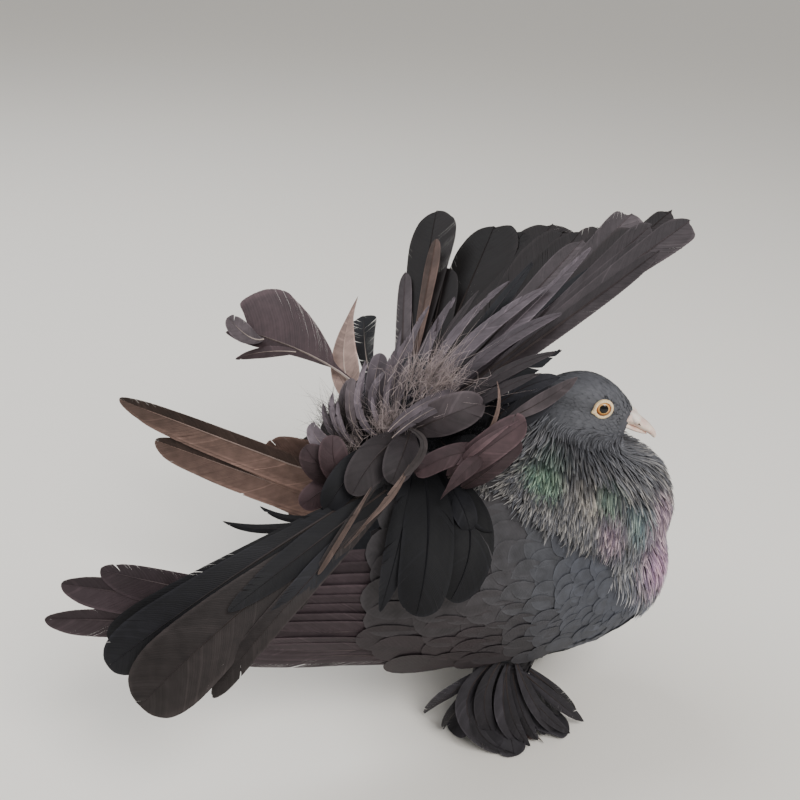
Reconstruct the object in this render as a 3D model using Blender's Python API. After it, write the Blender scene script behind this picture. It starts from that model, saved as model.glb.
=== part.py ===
"""Fantail pigeon, a still life-size model in metres, +Z up.

The bird stands with its fan thrown forward over its back. It is modelled in a bird frame: +X runs
forward, +Y to the bird's left, and the floor is Z = 0. The last step moves the whole bird so that
the middle of its footprint is the origin.
"""
import math

import bmesh
import bpy
from mathutils import Matrix, Vector

GAP = 0.0003                      # air left between pieces that touch
VANE_THICK = 0.0007

# Body: station along X, belly height, back height, half width
TORSO_ROWS = (
    (0.1190, 0.074, 0.098, 0.016),
    (0.1120, 0.058, 0.116, 0.031),
    (0.0960, 0.045, 0.132, 0.043),
    (0.0720, 0.034, 0.143, 0.051),
    (0.0440, 0.030, 0.149, 0.054),
    (0.0120, 0.034, 0.152, 0.053),
    (-0.0180, 0.045, 0.144, 0.046),
    (-0.0400, 0.062, 0.125, 0.036),
    (-0.0520, 0.080, 0.114, 0.024),
)
# Neck: height, front, back, half width
NECK_ROWS = (
    (0.0900, 0.108, 0.030, 0.040),
    (0.1050, 0.1185, 0.018, 0.0445),
    (0.1220, 0.1205, 0.012, 0.0430),
    (0.1380, 0.1140, 0.016, 0.0370),
    (0.1500, 0.1030, 0.026, 0.0280),
    (0.1600, 0.0940, 0.037, 0.0190),
    (0.1700, 0.0860, 0.046, 0.0120),
)
# Head: station along the head, half width, half height, height of its middle
HEAD_ROWS = (
    (-0.0260, 0.0050, 0.0045, -0.0085),
    (-0.0220, 0.0092, 0.0080, -0.0075),
    (-0.0160, 0.0122, 0.0105, -0.0050),
    (-0.0080, 0.0136, 0.0120, -0.0028),
    (0.0010, 0.0130, 0.0118, -0.0018),
    (0.0090, 0.0108, 0.0104, -0.0018),
    (0.0150, 0.0080, 0.0084, -0.0018),
    (0.0195, 0.0056, 0.0064, -0.0018),
)
HEAD_CENTRE = Vector((0.075, 0.0, 0.173))
HEAD_YAW = math.radians(-10.4)
HEAD_PITCH = math.radians(30.3)
NECK_BASE = (Vector((0.070, 0.0, 0.121)), Vector((0.45, 0.0, 0.893)))
NECK_TOP = (Vector((0.071, 0.0, 0.1585)), Vector((0.40, 0.0, 0.917)))

EYE_RADIUS = 0.0046
EYE_SIDE = 0.0098                 # eye centre out from the head's middle
LID_RADIUS = 0.0041
LID_TUBE = 0.0009
LID_SIDE = 0.0127

BILL_ROOT = 0.0195                # station where the bill leaves the feathers
BILL_TIP = 0.0335
MOUTH_DROP = -0.0036              # mouth line below the head's axis at the gape

# Fan: its centre, the way its underside faces, and its first direction
FAN_CENTRE = Vector((-0.022, -0.005, 0.153))
FAN_FACE = Vector((-0.61, -0.202, 0.766)).normalized()
HUB_RADIUS = 0.023
HUB_HALF_DEPTH = 0.013
FAN_ROOT = 0.014
FAN_FRONT = -12                   # turns at which the fan's three groups part
FAN_LEFT = 82
FAN_REAR = 171

LEG_PLACE = (0.034, 0.029)        # forward and out from the middle
ANKLE_HEIGHT = 0.0115
TOE_RADIUS = 0.0036
TOE_HEIGHT = 0.0026


def clear_scene():
    """Remove whatever the new file holds."""
    for thing in list(bpy.data.objects):
        bpy.data.objects.remove(thing, do_unlink=True)


def mix(low, high, share):
    return low + (high - low) * share


def smooth_row(rows, share):
    """One row of a table read between its rows, on a Catmull-Rom curve."""
    place = min(max(share, 0.0), 1.0) * (len(rows) - 1)
    index = min(int(place), len(rows) - 2)
    part = place - index
    before = rows[max(index - 1, 0)]
    first = rows[index]
    second = rows[index + 1]
    after = rows[min(index + 2, len(rows) - 1)]
    values = []
    for a, b, c, d in zip(before, first, second, after):
        slope = (c - a) * part
        turn = (2 * a - 5 * b + 4 * c - d) * part ** 2
        twist = (3 * b - 3 * c + d - a) * part ** 3
        values.append(b + 0.5 * (slope + turn + twist))
    return values


def look_up(rows, key):
    """Values of a table at a key, straight between its rows."""
    ordered = sorted(rows)
    if key <= ordered[0][0]:
        return ordered[0][1:]
    for low, high in zip(ordered, ordered[1:]):
        if key <= high[0]:
            share = (key - low[0]) / (high[0] - low[0])
            return [mix(a, b, share) for a, b in zip(low[1:], high[1:])]
    return ordered[-1][1:]


def new_object(name, bm):
    """Make an object of a bmesh, with all faces pointing out."""
    bmesh.ops.recalc_face_normals(bm, faces=bm.faces)
    mesh = bpy.data.meshes.new(name)
    bm.to_mesh(mesh)
    bm.free()
    thing = bpy.data.objects.new(name, mesh)
    bpy.context.scene.collection.objects.link(thing)
    return thing


def loft(name, rings):
    """Skin a list of rings of points and close both ends."""
    bm = bmesh.new()
    loops = [[bm.verts.new(point) for point in ring] for ring in rings]
    count = len(rings[0])
    for low, high in zip(loops, loops[1:]):
        for i in range(count):
            j = (i + 1) % count
            bm.faces.new((low[i], low[j], high[j], high[i]))
    for loop in (loops[0], loops[-1]):
        middle = sum((v.co for v in loop), Vector()) / count
        pole = bm.verts.new(middle)
        for i in range(count):
            bm.faces.new((loop[i], loop[(i + 1) % count], pole))
    return new_object(name, bm)


def oval(centre, side, up, half_side, half_up, count):
    """Points of an ellipse round a centre."""
    points = []
    for i in range(count):
        angle = 2 * math.pi * i / count
        points.append(centre + side * (half_side * math.cos(angle)) + up * (half_up * math.sin(angle)))
    return points


def apply_modifiers(thing):
    """Turn a thing's modifiers into its mesh."""
    graph = bpy.context.evaluated_depsgraph_get()
    mesh = bpy.data.meshes.new_from_object(thing.evaluated_get(graph))
    thing.modifiers.clear()
    old = thing.data
    thing.data = mesh
    bpy.data.meshes.remove(old)


def combine(thing, others, operation, solver="EXACT"):
    """Boolean a thing with the closed meshes of a collection, which are then removed."""
    group = bpy.data.collections.new("operands")
    bpy.context.scene.collection.children.link(group)
    for other in others:
        group.objects.link(other)
    modifier = thing.modifiers.new("join", "BOOLEAN")
    modifier.operand_type = "COLLECTION"
    modifier.collection = group
    modifier.operation = operation
    modifier.solver = solver
    apply_modifiers(thing)
    for other in others:
        bpy.data.objects.remove(other, do_unlink=True)
    bpy.data.collections.remove(group)
    return thing


def keep_largest(thing):
    """Keep only the largest closed surface of a mesh."""
    bm = bmesh.new()
    bm.from_mesh(thing.data)
    bmesh.ops.remove_doubles(bm, verts=bm.verts, dist=0.000002)
    bmesh.ops.triangulate(bm, faces=bm.faces)
    left = set(bm.faces)
    shells = []
    while left:
        shell = [left.pop()]
        for face in shell:
            for edge in face.edges:
                for other in edge.link_faces:
                    if other in left:
                        left.discard(other)
                        shell.append(other)
        shells.append(shell)
    shells.sort(key=lambda shell: sum(face.calc_area() for face in shell))
    loose = [face for shell in shells[:-1] for face in shell]
    bmesh.ops.delete(bm, geom=loose, context="FACES")
    bm.to_mesh(thing.data)
    bm.free()
    return thing


def cut_flat(thing, point, normal):
    """Cut a thing at a plane, drop the side that the normal looks to, and close it."""
    bm = bmesh.new()
    bm.from_mesh(thing.data)
    geom = list(bm.verts) + list(bm.edges) + list(bm.faces)
    bmesh.ops.bisect_plane(bm, geom=geom, dist=0.000001, plane_co=point, plane_no=normal, clear_outer=True)
    rim = [edge for edge in bm.edges if edge.is_boundary]
    bmesh.ops.holes_fill(bm, edges=rim, sides=0)
    bmesh.ops.recalc_face_normals(bm, faces=bm.faces)
    bm.to_mesh(thing.data)
    bm.free()
    return thing


def copy_of(thing, name):
    twin = bpy.data.objects.new(name, thing.data.copy())
    bpy.context.scene.collection.objects.link(twin)
    return twin


def torso_loft(grow=0.0):
    """The egg of the body, bigger all round by grow."""
    rings = []
    steps = 15
    for i in range(steps + 1):
        x, low, high, half = smooth_row(TORSO_ROWS, i / steps)
        centre = Vector((x, 0.0, (low + high) / 2))
        rings.append(oval(centre, Vector((0, 1, 0)), Vector((0, 0, 1)), half + grow, (high - low) / 2 + grow, 20))
    ends = (0.1235 + grow, -0.0575 - grow)
    for ring_index, x in ((0, ends[0]), (-1, ends[1])):
        source = rings[ring_index]
        middle = sum(source, Vector()) / len(source)
        small = [Vector((x, 0, 0)) + Vector((0, p.y, p.z)) - Vector((0, middle.y, middle.z)) for p in source]
        small = [Vector((p.x, middle.y + p.y * 0.45, middle.z + p.z * 0.45)) for p in small]
        if ring_index == 0:
            rings.insert(0, small)
        else:
            rings.append(small)
    return loft("torso_form", rings)


def neck_loft(grow=0.0):
    """The neck and crop, from inside the body up to the head."""
    rings = []
    steps = 10
    for i in range(steps + 1):
        z, front, back, half = smooth_row(NECK_ROWS, i / steps)
        centre = Vector(((front + back) / 2, 0.0, z))
        rings.append(oval(centre, Vector((1, 0, 0)), Vector((0, 1, 0)), (front - back) / 2 + grow, half + grow, 20))
    return loft("neck_form", rings)


def head_axes():
    """Forward, left and up of the head."""
    forward = Vector((math.cos(HEAD_PITCH) * math.cos(HEAD_YAW),
                      math.cos(HEAD_PITCH) * math.sin(HEAD_YAW),
                      -math.sin(HEAD_PITCH)))
    left = Vector((0, 0, 1)).cross(forward).normalized()
    return forward, left, forward.cross(left)


def head_point(along, out, high):
    forward, left, up = head_axes()
    return HEAD_CENTRE + forward * along + left * out + up * high


def head_loft():
    forward, left, up = head_axes()
    rings = []
    steps = 13
    for i in range(steps + 1):
        along, half, tall, middle = smooth_row(HEAD_ROWS, i / steps)
        rings.append(oval(head_point(along, 0, middle), left, up, half, tall, 20))
    return loft("head_form", rings)


def ball(name, centre, radius, rows=10):
    bm = bmesh.new()
    place = Matrix.Translation(centre)
    bmesh.ops.create_uvsphere(bm, u_segments=rows * 2, v_segments=rows, radius=radius, matrix=place)
    return new_object(name, bm)


def lid_ring(side):
    """The bare fleshy ring round one eye."""
    forward, left, up = head_axes()
    outward = (left * side + forward * 0.16 + up * 0.10).normalized()
    first = forward.cross(outward).normalized()
    second = outward.cross(first)
    centre = head_point(0.0, side * LID_SIDE, 0.0)
    rings = []
    count = 18
    for i in range(count):
        angle = 2 * math.pi * i / count
        spoke = first * math.cos(angle) + second * math.sin(angle)
        rings.append(oval(centre + spoke * LID_RADIUS, spoke, outward, LID_TUBE, LID_TUBE, 6))
    bm = bmesh.new()
    loops = [[bm.verts.new(p) for p in ring] for ring in rings]
    for i in range(count):
        low = loops[i]
        high = loops[(i + 1) % count]
        for j in range(6):
            k = (j + 1) % 6
            bm.faces.new((low[j], low[k], high[k], high[j]))
    return new_object("lid", bm)


def make_flesh():
    """Torso, neck and head from one body, parted by thin cuts."""
    body = combine(torso_loft(), [neck_loft(), head_loft()], "UNION")
    base, base_up = NECK_BASE
    top, top_up = NECK_TOP
    base_up = base_up.normalized()
    top_up = top_up.normalized()
    torso = copy_of(body, "torso")
    neck = copy_of(body, "neck")
    head = copy_of(body, "head")
    bpy.data.objects.remove(body, do_unlink=True)
    cut_flat(torso, base - base_up * GAP / 2, base_up)
    cut_flat(neck, base + base_up * GAP / 2, -base_up)
    cut_flat(neck, top - top_up * GAP / 2, top_up)
    cut_flat(head, top + top_up * GAP / 2, -top_up)
    combine(torso, [hub_ball(GAP)], "DIFFERENCE")
    return torso, neck, head


def make_eyes(head):
    """Lids on the head, and an eyeball in a socket on each side."""
    eyes = []
    combine(head, [lid_ring(1), lid_ring(-1)], "UNION")
    sockets = []
    for name, side in (("eye_left", 1), ("eye_right", -1)):
        centre = head_point(0.0, side * EYE_SIDE, 0.0)
        eyes.append(ball(name, centre, EYE_RADIUS, 8))
        sockets.append(ball("socket", centre, EYE_RADIUS + GAP, 8))
    combine(head, sockets, "DIFFERENCE")
    return eyes


def bill_half(name, rows):
    """One half of the bill: rows of station, half width, top and bottom height."""
    forward, left, up = head_axes()
    rings = []
    for along, half, high, low in rows:
        middle = (high + low) / 2
        rings.append(oval(head_point(along, 0, middle), left, up, half, (high - low) / 2, 12))
    return loft(name, rings)


def make_bill(head):
    """Upper and lower bill, a narrow mouth line apart, rooted face to face on the head."""
    forward, left, up = head_axes()
    cut_flat(head, head_point(BILL_ROOT - GAP, 0, 0), forward)
    root = BILL_ROOT
    reach = BILL_TIP - BILL_ROOT
    upper = bill_half("bill_upper", (
        (root, 0.0048, 0.0040, -0.0046),
        (root + 0.15 * reach, 0.0046, 0.0042, -0.0047),
        (root + 0.35 * reach, 0.0037, 0.0031, -0.0046),
        (root + 0.60 * reach, 0.0027, 0.0017, -0.0044),
        (root + 0.82 * reach, 0.0019, 0.0004, -0.0047),
        (root + 1.00 * reach, 0.0009, -0.0026, -0.0056),
    ))
    lower = bill_half("bill_lower", (
        (root, 0.0040, -0.0020, -0.0078),
        (root + 0.30 * reach, 0.0032, -0.0024, -0.0070),
        (root + 0.60 * reach, 0.0023, -0.0030, -0.0064),
        (root + 0.84 * reach, 0.0011, -0.0040, -0.0060),
    ))
    mouth = head_point(root, 0, MOUTH_DROP)
    slope = (up + forward * 0.10).normalized()
    cut_flat(upper, mouth + slope * GAP * 0.8, -slope)
    cut_flat(lower, mouth - slope * GAP * 0.8, slope)
    nostrils = []
    for side in (1, -1):
        slit = ball("nostril", head_point(root + 0.27 * reach, side * 0.0036, 0.0012), 0.0011, 4)
        slit.data.transform(Matrix.Translation(-head_point(root + 0.27 * reach, side * 0.0036, 0.0012)))
        turn = Matrix((forward, left, up)).transposed().to_4x4()
        slit.data.transform(turn @ Matrix.Diagonal((1.3, 0.7, 0.35, 1)) @ turn.inverted())
        slit.data.transform(Matrix.Translation(head_point(root + 0.27 * reach, side * 0.0036, 0.0012)))
        nostrils.append(slit)
    combine(upper, nostrils, "DIFFERENCE")
    return upper, lower


def fan_axes():
    """Fan directions: forward in the disc, left in the disc, and the way its underside faces."""
    forward = (Vector((1, 0, 0)) - FAN_FACE * FAN_FACE.x).normalized()
    return forward, FAN_FACE.cross(forward), FAN_FACE


def fan_way(turn, lift):
    """Direction at a turn round the fan and a lift towards its underside, in degrees."""
    forward, left, face = fan_axes()
    turn = math.radians(turn)
    lift = math.radians(lift)
    flat = forward * math.cos(turn) + left * math.sin(turn)
    return flat * math.cos(lift) + face * math.sin(lift)


def hub_ball(grow=0.0):
    """The rump's end that carries the fan: a flat ball across the fan's axis."""
    forward, left, face = fan_axes()
    hub = ball("hub", Vector(), 1.0, 9)
    turn = Matrix((forward, left, face)).transposed().to_4x4()
    size = Matrix.Diagonal((HUB_RADIUS + grow, HUB_RADIUS + grow, HUB_HALF_DEPTH + grow, 1))
    hub.data.transform(Matrix.Translation(FAN_CENTRE) @ turn @ size)
    return hub


def hub_sector(name, first, last):
    """The slice of the hub between two turns, GAP away from the next slice."""
    face = fan_axes()[2]
    hub = hub_ball()
    hub.name = name
    low = face.cross(fan_way(first, 0))
    high = face.cross(fan_way(last, 0))
    cut_flat(hub, FAN_CENTRE + low * GAP / 2, -low)
    cut_flat(hub, FAN_CENTRE - high * GAP / 2, high)
    return hub


# Fan feathers: turn, lift, length, width
TOP_FEATHERS = (
    (0, 7, 0.158, 0.020),
    (4, 9, 0.165, 0.026),
    (13, 4, 0.158, 0.032),
    (22, 1, 0.156, 0.036),
    (31, -3, 0.157, 0.038),
    (40, -4, 0.156, 0.040),
    (49, -4, 0.157, 0.040),
    (58, -4, 0.155, 0.036),
    (70, 4, 0.158, 0.034),
)
LEFT_FEATHERS = (
    (92, -2, 0.098, 0.016),
    (97, 2, 0.115, 0.017),
    (113, 14, 0.142, 0.036),
)
# Narrow feathers of the underside: turn, lift, length, width
UNDERSIDE_FEATHERS = (
    (5, 15, 0.108, 0.015),
    (12, 14, 0.120, 0.016),
    (20, 10, 0.100, 0.017),
    (30, 14, 0.088, 0.016),
    (42, 14, 0.080, 0.016),
    (56, 15, 0.075, 0.015),
    (69, 18, 0.064, 0.014),
)
# Feathers that bend down over a wing: root turn, lift, a place half way, the tip's place, width
FAR_FEATHERS = (
    (100, 16, (-0.008, 0.080, 0.152), (0.006, 0.096, 0.126), 0.030),
    (108, 16, (-0.016, 0.084, 0.150), (-0.016, 0.100, 0.108), 0.032),
    (116, 16, (-0.026, 0.087, 0.146), (-0.038, 0.104, 0.094), 0.032),
    (124, 16, (-0.031, 0.090, 0.144), (-0.064, 0.105, 0.078), 0.032),
    (132, 16, (-0.036, 0.093, 0.140), (-0.090, 0.103, 0.066), 0.030),
)
REAR_FEATHERS = (
    (-156, 12, (-0.096, -0.079, 0.140), (-0.149, -0.082, 0.104), 0.032),
    (-148, 14, (-0.092, -0.084, 0.134), (-0.143, -0.090, 0.084), 0.036),
    (-140, 16, (-0.084, -0.089, 0.130), (-0.131, -0.098, 0.078), 0.036),
    (-132, 17, (-0.075, -0.093, 0.128), (-0.113, -0.105, 0.084), 0.030),
)
HANGING_FEATHERS = (
    (-113, 15, (-0.040, -0.080, 0.152), (-0.070, -0.095, 0.119), 0.013),
    (-103, 14, (-0.028, -0.078, 0.152), (-0.030, -0.093, 0.113), 0.026),
    (-93, 12, (-0.017, -0.078, 0.154), (-0.018, -0.090, 0.110), 0.032),
    (-82, 10, (-0.006, -0.076, 0.157), (-0.002, -0.087, 0.121), 0.030),
)
FRONT_FEATHERS = (
    (-62, 6, (0.000, -0.046, 0.176), (0.012, -0.066, 0.174), 0.024),
    (-52, 3, (0.008, -0.043, 0.178), (0.026, -0.060, 0.178), 0.024),
    (-42, 0, (0.015, -0.039, 0.179), (0.040, -0.051, 0.185), 0.022),
    (-32, -2, (0.021, -0.032, 0.180), (0.053, -0.036, 0.191), 0.020),
)
# Short round feathers about the hub on the near side
HUB_FEATHERS = (
    (-136, 30, (-0.052, -0.026, 0.163), (-0.071, -0.044, 0.160), 0.020),
    (-120, 34, (-0.045, -0.034, 0.169), (-0.060, -0.056, 0.161), 0.023),
    (-104, 34, (-0.034, -0.041, 0.173), (-0.038, -0.068, 0.163), 0.025),
    (-86, 32, (-0.022, -0.042, 0.178), (-0.016, -0.069, 0.170), 0.025),
    (-66, 30, (-0.010, -0.036, 0.182), (0.000, -0.058, 0.183), 0.024),
)
ROLL = math.radians(6)            # each fan feather leans over its neighbour
HUB_FACE = (-0.35, 0.55, 0.76)    # the way the round feathers' tips face, on the bird's left
FRONT_FACE = (-0.20, 0.80, 0.56)

# Outline of a feather: share of its length, share of its full width
BROAD = ((0.0, 0.15), (0.30, 0.50), (0.64, 0.95), (0.84, 1.00), (0.95, 0.66), (1.0, 0.22))
LONG = ((0.0, 0.35), (0.40, 0.95), (0.85, 0.85), (1.0, 0.18))
SHORT = ((0.0, 0.50), (0.60, 1.0), (1.0, 0.32))
ROUND = ((0.0, 0.25), (0.40, 0.80), (0.78, 1.0), (1.0, 0.40))


def at_shares(line, outline):
    """Stations of a feather: a point, the way its face looks, and its half width share."""
    stations = []
    for share, width in outline:
        point, face = line(share)
        stations.append((point, face, width))
    return stations


def vane(name, line, outline, width, cup=0.10, thick=VANE_THICK, columns=3):
    """One feather: a thin closed blade, split into triangles alike on both faces."""
    stations = at_shares(line, outline)
    bm = bmesh.new()
    rows = []
    for i, (point, face, share) in enumerate(stations):
        before = stations[max(i - 1, 0)][0]
        after = stations[min(i + 1, len(stations) - 1)][0]
        along = (after - before).normalized()
        side = along.cross(face).normalized()
        up = side.cross(along)
        half = width / 2 * share
        top = []
        bottom = []
        for column in range(columns):
            across = 2 * column / (columns - 1) - 1
            place = point + side * (half * across) - up * (cup * half * across * across)
            top.append(bm.verts.new(place + up * thick / 2))
            bottom.append(bm.verts.new(place - up * thick / 2))
        rows.append((top, bottom))
    for (top_a, low_a), (top_b, low_b) in zip(rows, rows[1:]):
        for i in range(columns - 1):
            bm.faces.new((top_a[i], top_a[i + 1], top_b[i + 1]))
            bm.faces.new((top_a[i], top_b[i + 1], top_b[i]))
            bm.faces.new((low_a[i], low_b[i + 1], low_a[i + 1]))
            bm.faces.new((low_a[i], low_b[i], low_b[i + 1]))
        for i in (0, columns - 1):
            bm.faces.new((top_a[i], top_b[i], low_b[i]))
            bm.faces.new((top_a[i], low_b[i], low_a[i]))
    for top, low in (rows[0], rows[-1]):
        for i in range(columns - 1):
            bm.faces.new((top[i], top[i + 1], low[i + 1]))
            bm.faces.new((top[i], low[i + 1], low[i]))
    return new_object(name, bm)


def turned(vector, axis, angle):
    return Matrix.Rotation(angle, 3, axis) @ vector


def fan_line(row, sink=0.0):
    """A feather that lies in the fan: point and face at a share of its length."""
    turn, lift, length, width = row
    way = fan_way(turn, lift)
    face = fan_axes()[2]
    root = FAN_CENTRE + way * FAN_ROOT + face * sink
    tip = FAN_CENTRE + way * length
    leaning = turned(face, way, ROLL)

    def place(share):
        return root.lerp(tip, share), leaning
    return place


def bent_line(row, side, last=(0.05, 0.97, 0.25)):
    """A feather that leaves the fan and bends down over the wing on one side."""
    turn, lift, half_way, tip, width = row
    end = Vector(tip)
    root = FAN_CENTRE + fan_way(turn, lift) * FAN_ROOT
    pull = Vector(half_way) * 2 - (root + end) / 2
    first = fan_axes()[2]
    last = Vector((last[0], last[1] * side, last[2])).normalized()

    def place(share):
        point = root.lerp(pull, share).lerp(pull.lerp(end, share), share)
        turning = min(share * 1.5, 1.0)
        face = first.lerp(last, turning * turning * (3 - 2 * turning)).normalized()
        return point, turned(face, (end - root).normalized(), ROLL * side)
    return place


def make_tail():
    """The fan's three groups, each a slice of the hub with its feathers."""
    top = [vane("top", fan_line(row), BROAD, row[3]) for row in TOP_FEATHERS]
    under = [vane("under", fan_line(row, 0.006), LONG, row[3], columns=2) for row in UNDERSIDE_FEATHERS]
    left = [vane("left", fan_line(row), BROAD, row[3]) for row in LEFT_FEATHERS]
    far = [vane("far", bent_line(row, 1), BROAD, row[4]) for row in FAR_FEATHERS]
    near = [vane("near", bent_line(row, -1), BROAD, row[4]) for row in REAR_FEATHERS + HANGING_FEATHERS]
    front = [vane("front", bent_line(row, -1, FRONT_FACE), BROAD, row[4]) for row in FRONT_FEATHERS]
    short = [vane("short", bent_line(row, -1, HUB_FACE), ROUND, row[4]) for row in HUB_FEATHERS]
    groups = (("tail_top", FAN_FRONT, FAN_LEFT, top + under),
              ("tail_left", FAN_LEFT, FAN_REAR, left + far),
              ("tail_right", FAN_REAR - 360, FAN_FRONT, near + front + short))
    return [keep_largest(combine(hub_sector(name, first, last), feathers, "UNION"))
            for name, first, last, feathers in groups]


# Wing: station along X, half width of its outer face
WING_REACH = (
    (0.090, 0.036),
    (0.075, 0.050),
    (0.045, 0.060),
    (0.000, 0.063),
    (-0.050, 0.062),
    (-0.100, 0.066),
    (-0.150, 0.071),
    (-0.185, 0.077),
)
# Wing outline in side view: station, lower edge, upper edge
WING_OUTLINE = (
    (0.084, 0.086, 0.112),
    (0.076, 0.068, 0.130),
    (0.056, 0.056, 0.146),
    (0.030, 0.052, 0.154),
    (0.000, 0.054, 0.154),
    (-0.030, 0.058, 0.140),
    (-0.060, 0.063, 0.127),
    (-0.100, 0.070, 0.124),
    (-0.150, 0.088, 0.126),
    (-0.175, 0.103, 0.120),
)
WING_MIDDLE = 0.100
LEFT_WING_LIFT = 0.028            # how much higher the left wing carries its tips
WING_CORE_END = -0.035
LEAN = math.radians(10)           # each wing feather leans over the one below it
PRIMARIES = 7
# Longest primary's tip, side by side, and the step to the next: the left wing shows its upper ones
PRIMARY_TIPS = {-1: (-0.176, 0.105, 0.0110, 0.0026), 1: (-0.162, 0.109, 0.0085, -0.0024)}
SECONDARIES = 8
GREATER_COVERTS = 7
COVERT_ROWS = 3


def wing_out(x, z):
    """How far the wing's outer face stands out from the bird's middle."""
    reach = look_up(WING_REACH, x)[0]
    crown = (z - WING_MIDDLE) / 0.060
    fall = 0.55 if crown > 0 else 0.40
    return reach * (1 - fall * min(crown * crown, 1.2))


def wing_point(x, z, high, side):
    """A point of a wing: the left one's flight feathers are carried a little higher."""
    lift = LEFT_WING_LIFT * min(max((-0.060 - x) / 0.100, 0.0), 1.0) if side > 0 else 0.0
    return Vector((x, side * (wing_out(x, z) + high), z + lift))


def wing_face(x, z, side):
    """The way the wing's outer face looks at a place."""
    step = 0.004
    along = wing_point(x + step, z, 0, side) - wing_point(x - step, z, 0, side)
    up = wing_point(x, z + step, 0, side) - wing_point(x, z - step, 0, side)
    face = along.cross(up).normalized()
    return face if face.y * side > 0 else -face


def wing_line(start, end, low, high, side, lean=0.0):
    """A feather that lies on the wing from one side-view place to another."""
    way = (wing_point(*end, high, side) - wing_point(*start, low, side)).normalized()

    def place(share):
        x = mix(start[0], end[0], share)
        z = mix(start[1], end[1], share)
        point = wing_point(x, z, mix(low, high, share ** 0.7), side)
        return point, turned(wing_face(x, z, side), way, lean * side)
    return place


def wing_core(name, side):
    """The flesh and bone of the folded wing, laid along the body."""
    rings = []
    for x, low, high in WING_OUTLINE:
        if x < WING_CORE_END:
            break
        inset = 0.005 if x < 0.080 else 0.002
        depth = 0.012 if x < 0.080 else 0.008
        places = [mix(low + inset, high - inset, i / 6) for i in range(7)]
        outer = [wing_point(x, z, -0.001, side) for z in places]
        inner = [wing_point(x, z, -depth, side) for z in places]
        rings.append(outer + list(reversed(inner)))
    return loft(name, rings)


def wing_feathers(side):
    """Primaries, secondaries, and the tiers of coverts over their roots."""
    vanes = []
    tip_x, tip_z, next_x, next_z = PRIMARY_TIPS[side]
    for i in range(PRIMARIES):
        rise = i if next_z > 0 else PRIMARIES - 1 - i
        start = (0.006 - 0.004 * i, 0.068 + 0.0045 * rise)
        end = (tip_x + next_x * i, tip_z + next_z * i)
        line = wing_line(start, end, -0.0080 + 0.0006 * i, -0.0085 + 0.0011 * i, side)
        vanes.append(vane("primary", line, LONG, 0.017, 0.06, columns=2))
    for i in range(SECONDARIES):
        start = (0.028 - 0.0060 * i, 0.062 + 0.0082 * i)
        end = (-0.101 + 0.0016 * i, 0.076 + 0.0058 * i)
        line = wing_line(start, end, -0.0050, 0.0006 + 0.0001 * i, side, LEAN)
        vanes.append(vane("secondary", line, LONG, 0.021, 0.06, columns=2))
    for i in range(GREATER_COVERTS):
        start = (0.044 - 0.0085 * i, 0.063 + 0.0115 * i)
        end = (start[0] - 0.042, start[1] + 0.002)
        line = wing_line(start, end, -0.0040, 0.0026, side, LEAN)
        vanes.append(vane("greater", line, SHORT, 0.021, 0.08, columns=2))
    for row in range(COVERT_ROWS):
        x = 0.016 + 0.0200 * row
        low, high = look_up(WING_OUTLINE, x)
        count = int((high - low) / 0.0165)
        for i in range(count):
            z = mix(low + 0.004, high - 0.004, (i + 0.5 * (row % 2) + 0.25) / count)
            start = (x + 0.010 - 0.10 * (z - low), z)
            end = (start[0] - 0.032, z - 0.002)
            line = wing_line(start, end, -0.0035, 0.0036, side, LEAN)
            vanes.append(vane("covert", line, SHORT, 0.022, 0.08, columns=2))
    return vanes


def make_wing(name, side):
    """A folded wing, cut clear of the body that it lies on."""
    wing = combine(wing_core(name, side), wing_feathers(side), "UNION")
    combine(wing, [torso_loft(GAP)], "DIFFERENCE")
    combine(wing, [neck_loft(GAP)], "DIFFERENCE")
    return keep_largest(wing)


def make_leg(name, side):
    """A short feathered leg, cut to the belly that it leaves."""
    rows = ((0.049, 0.012, 0.017), (0.040, 0.012, 0.016), (0.030, 0.011, 0.014),
            (0.020, 0.009, 0.010), (ANKLE_HEIGHT + GAP, 0.007, 0.008))
    forward, out = LEG_PLACE
    rings = []
    for z, half_side, half_long in rows:
        centre = Vector((forward - (0.03 - z) * 0.15, side * out, z))
        rings.append(oval(centre, Vector((1, 0, 0)), Vector((0, 1, 0)), half_long, half_side, 12))
    leg = loft(name, rings)
    combine(leg, [torso_loft(GAP)], "DIFFERENCE")
    return keep_largest(leg)


def toe(base, yaw, length):
    """One toe with its claw, lying on the floor."""
    way = Vector((math.cos(yaw), math.sin(yaw), 0))
    across = Vector((-way.y, way.x, 0))
    up = Vector((0, 0, 1))
    rings = []
    for share, size, high in ((0.0, 1.0, 1.2), (0.3, 0.9, 1.0), (0.62, 0.85, 0.95), (0.8, 0.6, 0.9),
                              (0.9, 0.35, 0.8), (1.0, 0.12, 0.35)):
        centre = base + way * (length * share)
        centre.z = TOE_HEIGHT * high
        rings.append(oval(centre, across, up, TOE_RADIUS * size, TOE_RADIUS * size, 6))
    return loft("toe", rings)


def muff_line(heel, angle, reach, side):
    """A muff feather from the ankle out over the toes."""
    way = Vector((math.cos(math.radians(side * angle)), math.sin(math.radians(side * angle)), 0))
    start = heel + way * 0.003 + Vector((0, 0, 0.0080))
    end = heel + Vector((way.x * reach, way.y * reach * 0.62, 0.0035))

    def place(share):
        return start.lerp(end, share) + Vector((0, 0, 0.012 * share * (1 - share))), Vector((0, 0, 1))
    return place


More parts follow.
